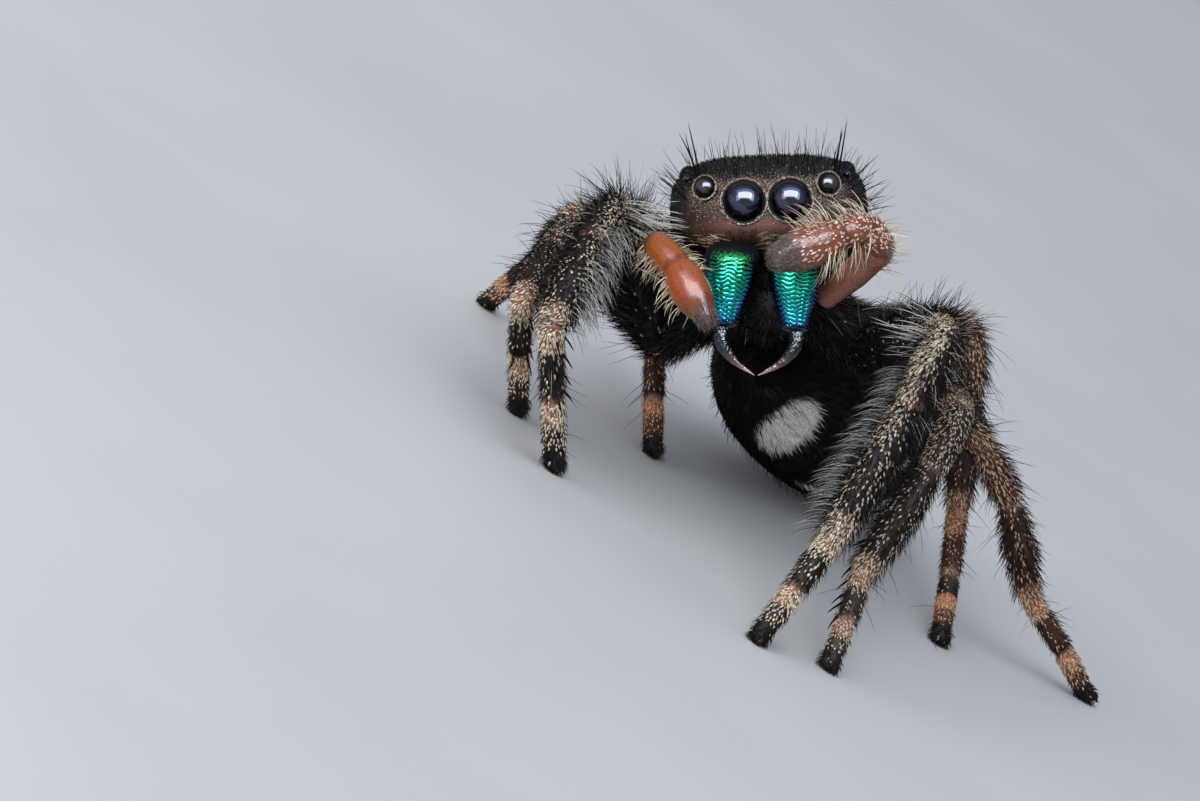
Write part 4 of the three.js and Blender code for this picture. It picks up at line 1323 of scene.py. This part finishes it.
shapes = lashes(rng, bristle_roots, size, width, rings=6, sides=5, start=ways, end=bent)
coat("bristles", bristle_roots, shapes, shades(rng, n, JET, JET), black_hair)

# hairs over the clypeus edge: black ones all along it, cream ones at its right corner and middle
edge_roots = rooted(rng, [head_form], 120 * on_face * smooth(-z, 0.36, 0.5) * (np.abs(x) < 1.1))
n = len(edge_roots)
hang = unit(head_turn @ [0, -0.5, -1] + 0.5 * edge_roots.out + rng.normal(0, 0.25, (n, 3)))
shapes = lashes(rng, edge_roots, rng.uniform(0.12, 0.26, n), 0.011, rings=4, start=hang,
                end=unit(hang + 0.6 * (head_turn @ [0.2, 0.1, -1])))
coat("clypeus_hairs", edge_roots, shapes, shades(rng, n, JET, SOOT), black_hair)

tufts = (700 * on_face * smooth(-z, 0.42, 0.55) * smooth(-x, 0.84, 0.95)
         + 200 * on_face * smooth(-z, 0.45, 0.6) * (np.abs(x + 0.03) < 0.1))
tuft_roots = rooted(rng, [head_form], tufts)
n = len(tuft_roots)
inwards = -np.sign(tuft_roots.own()[:, :1]) * (head_turn @ [1.0, 0, 0])
hang = unit(inwards * 0.8 + head_turn @ [0, -0.9, -0.1] + rng.normal(0, 0.16, (n, 3)))
shapes = lashes(rng, tuft_roots, rng.uniform(0.2, 0.42, n), 0.018, rings=4, start=hang,
                end=unit(hang + inwards * 0.3 + head_turn @ [0, 0, -0.25]))
coat("clypeus_cream", tuft_roots, shapes, shades(rng, n, CREAM, colour(206, 182, 138)), pale_hair)

# ---------------------------------------------------------------- coat of the legs
# The legs are furry with black hairs that lean towards the toe, and are dusted with flat
# cream scales in rings. A few very long fine hairs stand out of them.
rng = np.random.default_rng(SEED + 1)
LEG_FUR = 470
FUR_WIDTH, LONG_WIDTH = 0.0135, 0.0115
FUR_SHARE = [1.0, 0.95, 0.9, 0.95, 0.85, 0.9]
FUR_LENGTH = [0.3, 0.3, 0.27, 0.27, 0.16, 0.11]
FUR_LIFT = [45, 48, 46, 42, 36, 30]
SCALE_LENGTH = [0.08, 0.085, 0.09, 0.09, 0.08, 0.07]
LONG_HAIRS = [4.0, 11.0, 12.0, 12.0, 7.0, 1.5]
KNEE_SCALES = {"right": (1.35, (0.0, 0.55)), "left": (2.0, (0.35, 0.8))}
leg_pair = np.array([form.notes.get("pair", 0) for form in FLESH])
for side, hand in HANDS:
    forms = [legs[hand, pair] for pair in range(1, 5)]

    def furred(form):
        part, share = form.notes["part"], form.notes["share"]
        clear = 1 - 0.8 * np.exp(-(form.notes["hinge"] / 0.05) ** 2) * (part > HIP)
        ringed = 1 - 0.55 * paleness(part, share, form.notes["late"])
        fur = LEG_FUR * np.choose(part, FUR_SHARE) * clear * ringed
        return fur[:, None] * (1.0 if form.notes["pair"] == 0 else 0.92)

    fur_roots = rooted(rng, forms, furred)
    n = len(fur_roots)
    part = fur_roots.note("part")
    size = np.interp(part, range(6), FUR_LENGTH) * rng.uniform(0.6, 1.3, n)
    size *= np.where(leg_pair[fur_roots.form] == 0, 1.15, 0.9)
    lift = np.interp(part, range(6), FUR_LIFT) + rng.normal(0, 9, n)
    coat(f"leg_fur_{hand}", fur_roots, lashes(rng, fur_roots, size, FUR_WIDTH, lift, lift * 0.5, 16),
         shades(rng, n, JET, JET, SOOT, colour(88, 80, 70)), black_hair)

    def dusted(form):
        part, share, turn = form.notes["part"], form.notes["share"], form.notes["turn"]
        rows = (0.5 + 0.8 * np.cos(5 * turn)[None, :]).clip(0.04, 1.2)
        above = 1 - 0.35 * smooth(-np.cos(turn), 0.2, 0.9)[None, :]
        pale = paleness(part, share, form.notes["late"])[:, None]
        if form.notes["pair"] == 0:
            knee = (part == KNEECAP) + (part == FEMUR) * (share > 0.7) + (part == SHIN) * (share < 0.35)
            towards_face = unit(np.array([-0.75 * side, -0.55, 0.3]))
            amount, edge = KNEE_SCALES[hand]
            inner = amount * smooth((form.out * towards_face).sum(2), *edge)
            pale = pale * (1 - knee[:, None] * (0.85 - inner))
        dust = 40 * (part > HIP)[:, None] + 620 * pale ** 1.3
        return dust * np.where(pale < 0.5, rows * above, 0.55 + 0.45 * above)

    scale_roots = rooted(rng, forms, dusted)
    n = len(scale_roots)
    pair = leg_pair[scale_roots.form]
    size = np.interp(scale_roots.note("part"), range(6), SCALE_LENGTH) * rng.uniform(0.75, 1.25, n)
    size *= np.where(pair == 0, 1.12, 1.0)
    warm = (pair > 1)[:, None] * 1.0
    tone = shades(rng, n, colour(255, 244, 226), colour(246, 220, 182), spread=0.14)
    tone = tone + 0.6 * warm * (shades(rng, n, colour(240, 190, 150), colour(204, 146, 104)) - tone)
    width = np.where(pair == 0, 0.44, 0.38) * size
    coat(f"leg_scales_{hand}", scale_roots, blades(rng, scale_roots, size, width, rng.uniform(12, 28, n), 9),
         tone, scale_sheen)

    def sparse(form):
        part, share = form.notes["part"], form.notes["share"]
        knee = (part == FEMUR) * smooth(share, 0.6, 0.8) + (part == KNEECAP)
        knee = knee + (part == SHIN) * (1 - smooth(share, 0.05, 0.3))
        on_top = smooth(form.out[..., 2], 0.0, 0.5) * (160 if form.notes["pair"] == 0 else 16)
        return np.choose(part, LONG_HAIRS)[:, None] + knee[:, None] * on_top

    long_roots = rooted(rng, forms, sparse)
    n = len(long_roots)
    lift = rng.uniform(42, 78, n)
    size = rng.uniform(0.32, 0.72, n) * np.where(long_roots.note("part") < SHIN, 1.15, 0.9)
    shapes = lashes(rng, long_roots, size, LONG_WIDTH, lift, lift - 24, 22, 5)
    is_grey = rng.random((n, 1)) < 0.2
    grey = shades(rng, n, colour(206, 200, 190), colour(150, 146, 138))
    coat(f"leg_long_hairs_{hand}", long_roots, shapes, np.where(is_grey, grey, shades(rng, n, JET, SOOT)),
         black_hair)

# the brushes of grey hairs on the inner sides of the front legs
BRUSH_FROM = {"right": 0.45, "left": 0.72}
BRUSH_BLACK = {"right": 0.3, "left": 0.42}
BRUSH_LIGHT = {"right": 1, "left": 0.62}
down = np.array([0, 0, -1.0])
for side, hand in HANDS:
    leg = legs[hand, 1]
    inwards = unit(on_ground(LEG_JOINTS["right"][0][0]) - on_ground(LEG_JOINTS["left"][0][0])) * side
    facing_in = smooth((leg.out * inwards).sum(2), 0.25, 0.75)
    part, share, first = leg.notes["part"], leg.notes["share"], BRUSH_FROM[hand]
    upper = (part == FEMUR) * smooth(share, first, first + 0.2)
    upper = upper + (part == KNEECAP) * (1 - smooth(share, 0.2, 0.4))
    lower = (part == KNEECAP) * smooth(share, 0.5, 0.7)
    lower = lower + (part == SHIN) * (1 - 0.8 * smooth(share, 0.6, 0.95))
    brush_roots = rooted(rng, [leg], facing_in * (150 * upper + 250 * lower)[:, None])
    n = len(brush_roots)
    below = brush_roots.note("part") + brush_roots.note("share") > KNEECAP + 0.45
    below = below[:, None] * 1.0
    start = brush_roots.out * 0.9 + inwards * 0.9 + 0.2 * brush_roots.lie + rng.normal(0, 0.12, (n, 3))
    end = inwards * (1.1 - 0.5 * below) + 0.3 * brush_roots.lie + (0.12 + 0.75 * below) * down
    end = unit(end + rng.normal(0, 0.14, (n, 3)))
    tone = shades(rng, n, colour(246, 243, 234), colour(210, 206, 196), spread=0.12)
    grey = shades(rng, n, colour(214, 210, 202), colour(132, 129, 124), spread=0.2)
    tone = (tone + below * (grey - tone)) * BRUSH_LIGHT[hand]
    is_black = rng.random((n, 1)) < BRUSH_BLACK[hand]
    tone = np.where(is_black, shades(rng, n, JET, SOOT), tone)
    size = rng.uniform(0.36, 0.76, n) * (1.3 - 0.3 * below[:, 0])
    shapes = lashes(rng, brush_roots, size, 0.021 - 0.008 * below[:, 0], rings=6, start=unit(start), end=end)
    coat(f"front_leg_brush_{hand}", brush_roots, shapes, tone, pale_hair)

# ---------------------------------------------------------------- spines, claws and soles
# Stout black spines stand under the shins and feet of the two front pairs. Each toe ends in
# two small hooked claws over a pad of dark hairs, on which the spider stands.
rng = np.random.default_rng(SEED + 2)
SPINE_SITES = [
    (SHIN, 0.45), (SHIN, 0.72), (SHIN, 0.95), (FOOT, 0.16), (FOOT, 0.42), (FOOT, 0.66), (FOOT, 0.9),
]
SPINE_ANGLES = (0.82 * pi, 1.18 * pi)
SPINE_WIDTH = 0.042
CLAW_ANGLES = (-0.32, 0.32)
CLAW_LENGTH, CLAW_WIDTH = 0.2, 0.06
PAD_WIDTH = 0.017


def ring_at(leg, part, share):
    """The ring of a leg that is so far along one of its parts."""
    return np.argmin(np.abs(leg.notes["share"] - share) + 9 * (leg.notes["part"] != part))


lots = []
for (hand, pair), leg in legs.items():
    if pair > 2:
        continue
    rows, columns = [], []
    for part, share in SPINE_SITES:
        row = ring_at(leg, part, share)
        fore, rear = SPINE_ANGLES
        if (hand, pair, part) == ("right", 1, FOOT):
            rear = leg.notes["turn"][np.argmax(leg.out[row] @ camera_right)]
        rows += [row, row]
        columns += [np.argmin(np.abs(leg.notes["turn"] - angle)) for angle in (fore, rear)]
    lots.append(at_corners(leg, rows, columns))
spine_roots = gathered(lots)
n = len(spine_roots)
shapes = lashes(rng, spine_roots, rng.uniform(0.26, 0.38, n), SPINE_WIDTH, 38, 24, 6, rings=5, sides=6)
coat("leg_spines", spine_roots, shapes, shades(rng, n, JET, colour(44, 30, 24)),
     black_hair)

columns = [round(angle / (2 * pi) * LEG_SIDES) % LEG_SIDES for angle in CLAW_ANGLES]
claw_roots = gathered([at_corners(leg, [ring_at(leg, TOE, 0.97)] * 2, columns) for leg in legs.values()])
shapes = lashes(rng, claw_roots, CLAW_LENGTH, CLAW_WIDTH, 34, -42, 2, rings=8, sides=8)
coat("claws", claw_roots, shapes,
     shades(rng, len(claw_roots), colour(30, 18, 14), colour(52, 32, 24), spread=0.1), black_hair)


def padded_toe(form):
    return (420 * smooth(form.notes["share"], 0.72, 0.9) * (form.notes["part"] == TOE))[:, None]


pad_roots = rooted(rng, list(legs.values()), padded_toe)
n = len(pad_roots)
size = rng.uniform(0.09, 0.2, n)
coat("toe_pads", pad_roots, lashes(rng, pad_roots, size, PAD_WIDTH, rng.uniform(30, 64, n), 24, 18),
     shades(rng, n, JET, colour(52, 50, 50)), black_hair)

# ---------------------------------------------------------------- coat of the palps
# The left palp is downy, with flat white scales, a grey velvet tip and long cream
# hairs fringing both its edges. The right one is bare but for a cream fringe on each side
# and the down of its tip.
rng = np.random.default_rng(SEED + 3)
DOWN_WIDTH = 0.011
up, right, front = np.array(camera_up), np.array(camera_right), np.array(camera_back)
left_palp, right_palp = palps["left"], palps["right"]


def banded(form, low, high, amount, side_way=None, least=0.2):
    """So many hairs on a stretch of a palp, on the side that looks along a way."""
    whole = form.notes["part"] + form.notes["share"]
    band = smooth(whole, low, low + 0.15) * (1 - smooth(whole, high - 0.15, high))
    if side_way is None:
        return amount * band[:, None]
    return amount * band[:, None] * smooth((form.out * unit(side_way)).sum(2), least, least + 0.4)


# white scales on the side facing the camera
white = banded(left_palp, 1.1, 3.8, 150, up * 0.4 + front, 0.0)
white = white + banded(left_palp, 1.2, 2.3, 170, right + front)
white_roots = rooted(rng, [left_palp], white)
n = len(white_roots)
size = rng.uniform(0.075, 0.11, n)
coat("palp_scales", white_roots, blades(rng, white_roots, size, 0.5 * size, 14, 12),
     shades(rng, n, colour(255, 240, 226), colour(240, 208, 184), spread=0.1), scale_sheen)


# down over the left palp and at the tip of both
def downy(form):
    if form is left_palp:
        return banded(form, 0.6, 3.8, 240) + banded(form, 3.68, 4.2, 1100)
    return banded(form, 3.8, 4.2, 1100)


down_roots = rooted(rng, [left_palp, right_palp], downy)
n = len(down_roots)
at_tip = smooth(down_roots.note("part") + down_roots.note("share"), 3.62, 3.8)[:, None]
tone = shades(rng, n, colour(120, 66, 46), colour(84, 48, 36))
tone = tone + at_tip * (shades(rng, n, colour(142, 130, 118), colour(72, 62, 55)) - tone)
size = rng.uniform(0.07, 0.13, n) * (1 + 0.9 * at_tip[:, 0] * rng.random(n))
coat("palp_down", down_roots, lashes(rng, down_roots, size, DOWN_WIDTH, 40, 12, 14), tone, pale_hair)

# cream fringes: each has its stretch of a palp, how many hairs, the side they grow on and how
# far round it, the ways they leave and end, and their least and greatest length
LEFT_FRINGES = [
    (1.85, 3.6, 72, up + 0.2 * front, 0.35, up * 0.9 - right * 0.6, -right * 0.7 + up * 0.3, (0.25, 0.58)),
    (1.7, 3.5, 110, -up + 0.35 * front, 0.25, -up * 0.9 - right * 0.25 + front * 0.25, -up - right * 0.3,
     (0.25, 0.62)),
    (0.5, 1.9, 50, right, 0.3, right - up * 0.2, right - up * 0.25, (0.25, 0.5)),
]
RIGHT_FRINGES = [
    (0.9, 3.7, 80, -right - up * 0.6 - 0.5 * front, 0.2, -right * 0.75 - up * 0.75, -right * 0.3 - up,
     (0.2, 0.46)),
    (2.1, 3.3, 80, right + up * 0.3 - 0.6 * front, 0.2, right * 0.9 + up * 0.1, right * 0.6 - up * 0.6,
     (0.2, 0.38)),
]
lots, rods = [], []
for palp, fringes, thickest, spread in [
    (left_palp, LEFT_FRINGES, 0.022, 0.34), (right_palp, RIGHT_FRINGES, 0.019, 0.5),
]:
    for low, high, amount, side_way, least, start_way, end_way, lengths in fringes:
        roots = rooted(rng, [palp], banded(palp, low, high, amount, side_way, least))
        n = len(roots)
        start = unit(roots.out * 0.6 + unit(start_way) + rng.normal(0, 0.24, (n, 3)))
        end = unit(unit(end_way) + 0.2 * roots.lie + rng.normal(0, spread, (n, 3)))
        size, width = rng.uniform(*lengths, n), rng.uniform(0.013, thickest, n)
        places, faces, patch = lashes(rng, roots, size, width, rings=6, start=start, end=end)
        lots.append(roots)
        rods.append(places)
fringe_roots = gathered(lots)
tone = shades(rng, len(fringe_roots), colour(255, 246, 222), colour(238, 216, 180), colour(170, 148, 118),
              spread=0.14)
coat("palp_fringes", fringe_roots, (np.concatenate(rods), faces, patch), tone, pale_hair)

# ---------------------------------------------------------------- coat of the underside
# Black hairs hang from the breast plate, the mouthparts and the waist and stand round the
# spinnerets, with a few grey ones under the fangs.
rng = np.random.default_rng(SEED + 4)
UNDER_FUR, UNDER_WIDTH = 420, 0.0145
MOUTH_FUR, MOUTH_WIDTH = 60, 0.01
under_roots = rooted(rng, [breast_form, lip_form, waist_form, tail_form], UNDER_FUR)
n = len(under_roots)
size, lift = rng.uniform(0.14, 0.36, n), rng.uniform(35, 75, n)
coat("breast_fur", under_roots, lashes(rng, under_roots, size, UNDER_WIDTH, lift, 20, 25, 3),
     shades(rng, n, JET, JET, SOOT, colour(56, 52, 50)), black_hair)

mouth_roots = rooted(rng, [lip_form], MOUTH_FUR)
n = len(mouth_roots)
start = unit(mouth_roots.out + head_turn @ [0, -0.9, -0.2] + rng.normal(0, 0.3, (n, 3)))
end = unit(head_turn @ [0, -0.5, -0.6] + rng.normal(0, 0.9, (n, 3)))
size = rng.uniform(0.22, 0.42, n)
shapes = lashes(rng, mouth_roots, size, MOUTH_WIDTH, rings=5, start=start, end=end)
coat("mouth_hairs", mouth_roots, shapes, shades(rng, n, colour(128, 124, 118), colour(66, 62, 58), SOOT),
     black_hair)

# ---------------------------------------------------------------- coat of the abdomen
# The abdomen is clothed in black velvet that lies backwards, with longer hairs standing out
# of it. Its patches, spots and slanting lines are of chalk-white hairs.
rng = np.random.default_rng(SEED + 5)
ABDOMEN_FUR, ABDOMEN_WIDTH = 470, 0.0145
STRAY_FUR, STRAY_WIDTH = 24, 0.013
velvet = rooted(rng, [abdomen_form], ABDOMEN_FUR)
is_white = abdomen_marks(velvet.own()) + rng.normal(0, 0.12, len(velvet)) > 0.5
for name, mask, finish, stops in [
    ("abdomen_velvet", ~is_white, black_hair, (JET, SOOT)),
    ("abdomen_marks", is_white, pale_hair, (colour(246, 244, 240), colour(226, 222, 216))),
]:
    roots = velvet.chosen(mask)
    n = len(roots)
    size, lift = rng.uniform(0.13, 0.24, n), rng.uniform(18, 34, n)
    coat(name, roots, lashes(rng, roots, size, ABDOMEN_WIDTH, lift, 8, 12),
         shades(rng, n, *stops, spread=0.15), finish)
stray = rooted(rng, [abdomen_form], STRAY_FUR)
n = len(stray)
size, lift = rng.uniform(0.2, 0.42, n), rng.uniform(35, 60, n)
coat("abdomen_hairs", stray, lashes(rng, stray, size, STRAY_WIDTH, lift, 18, 16, 5),
     shades(rng, n, JET, SOOT), black_hair)
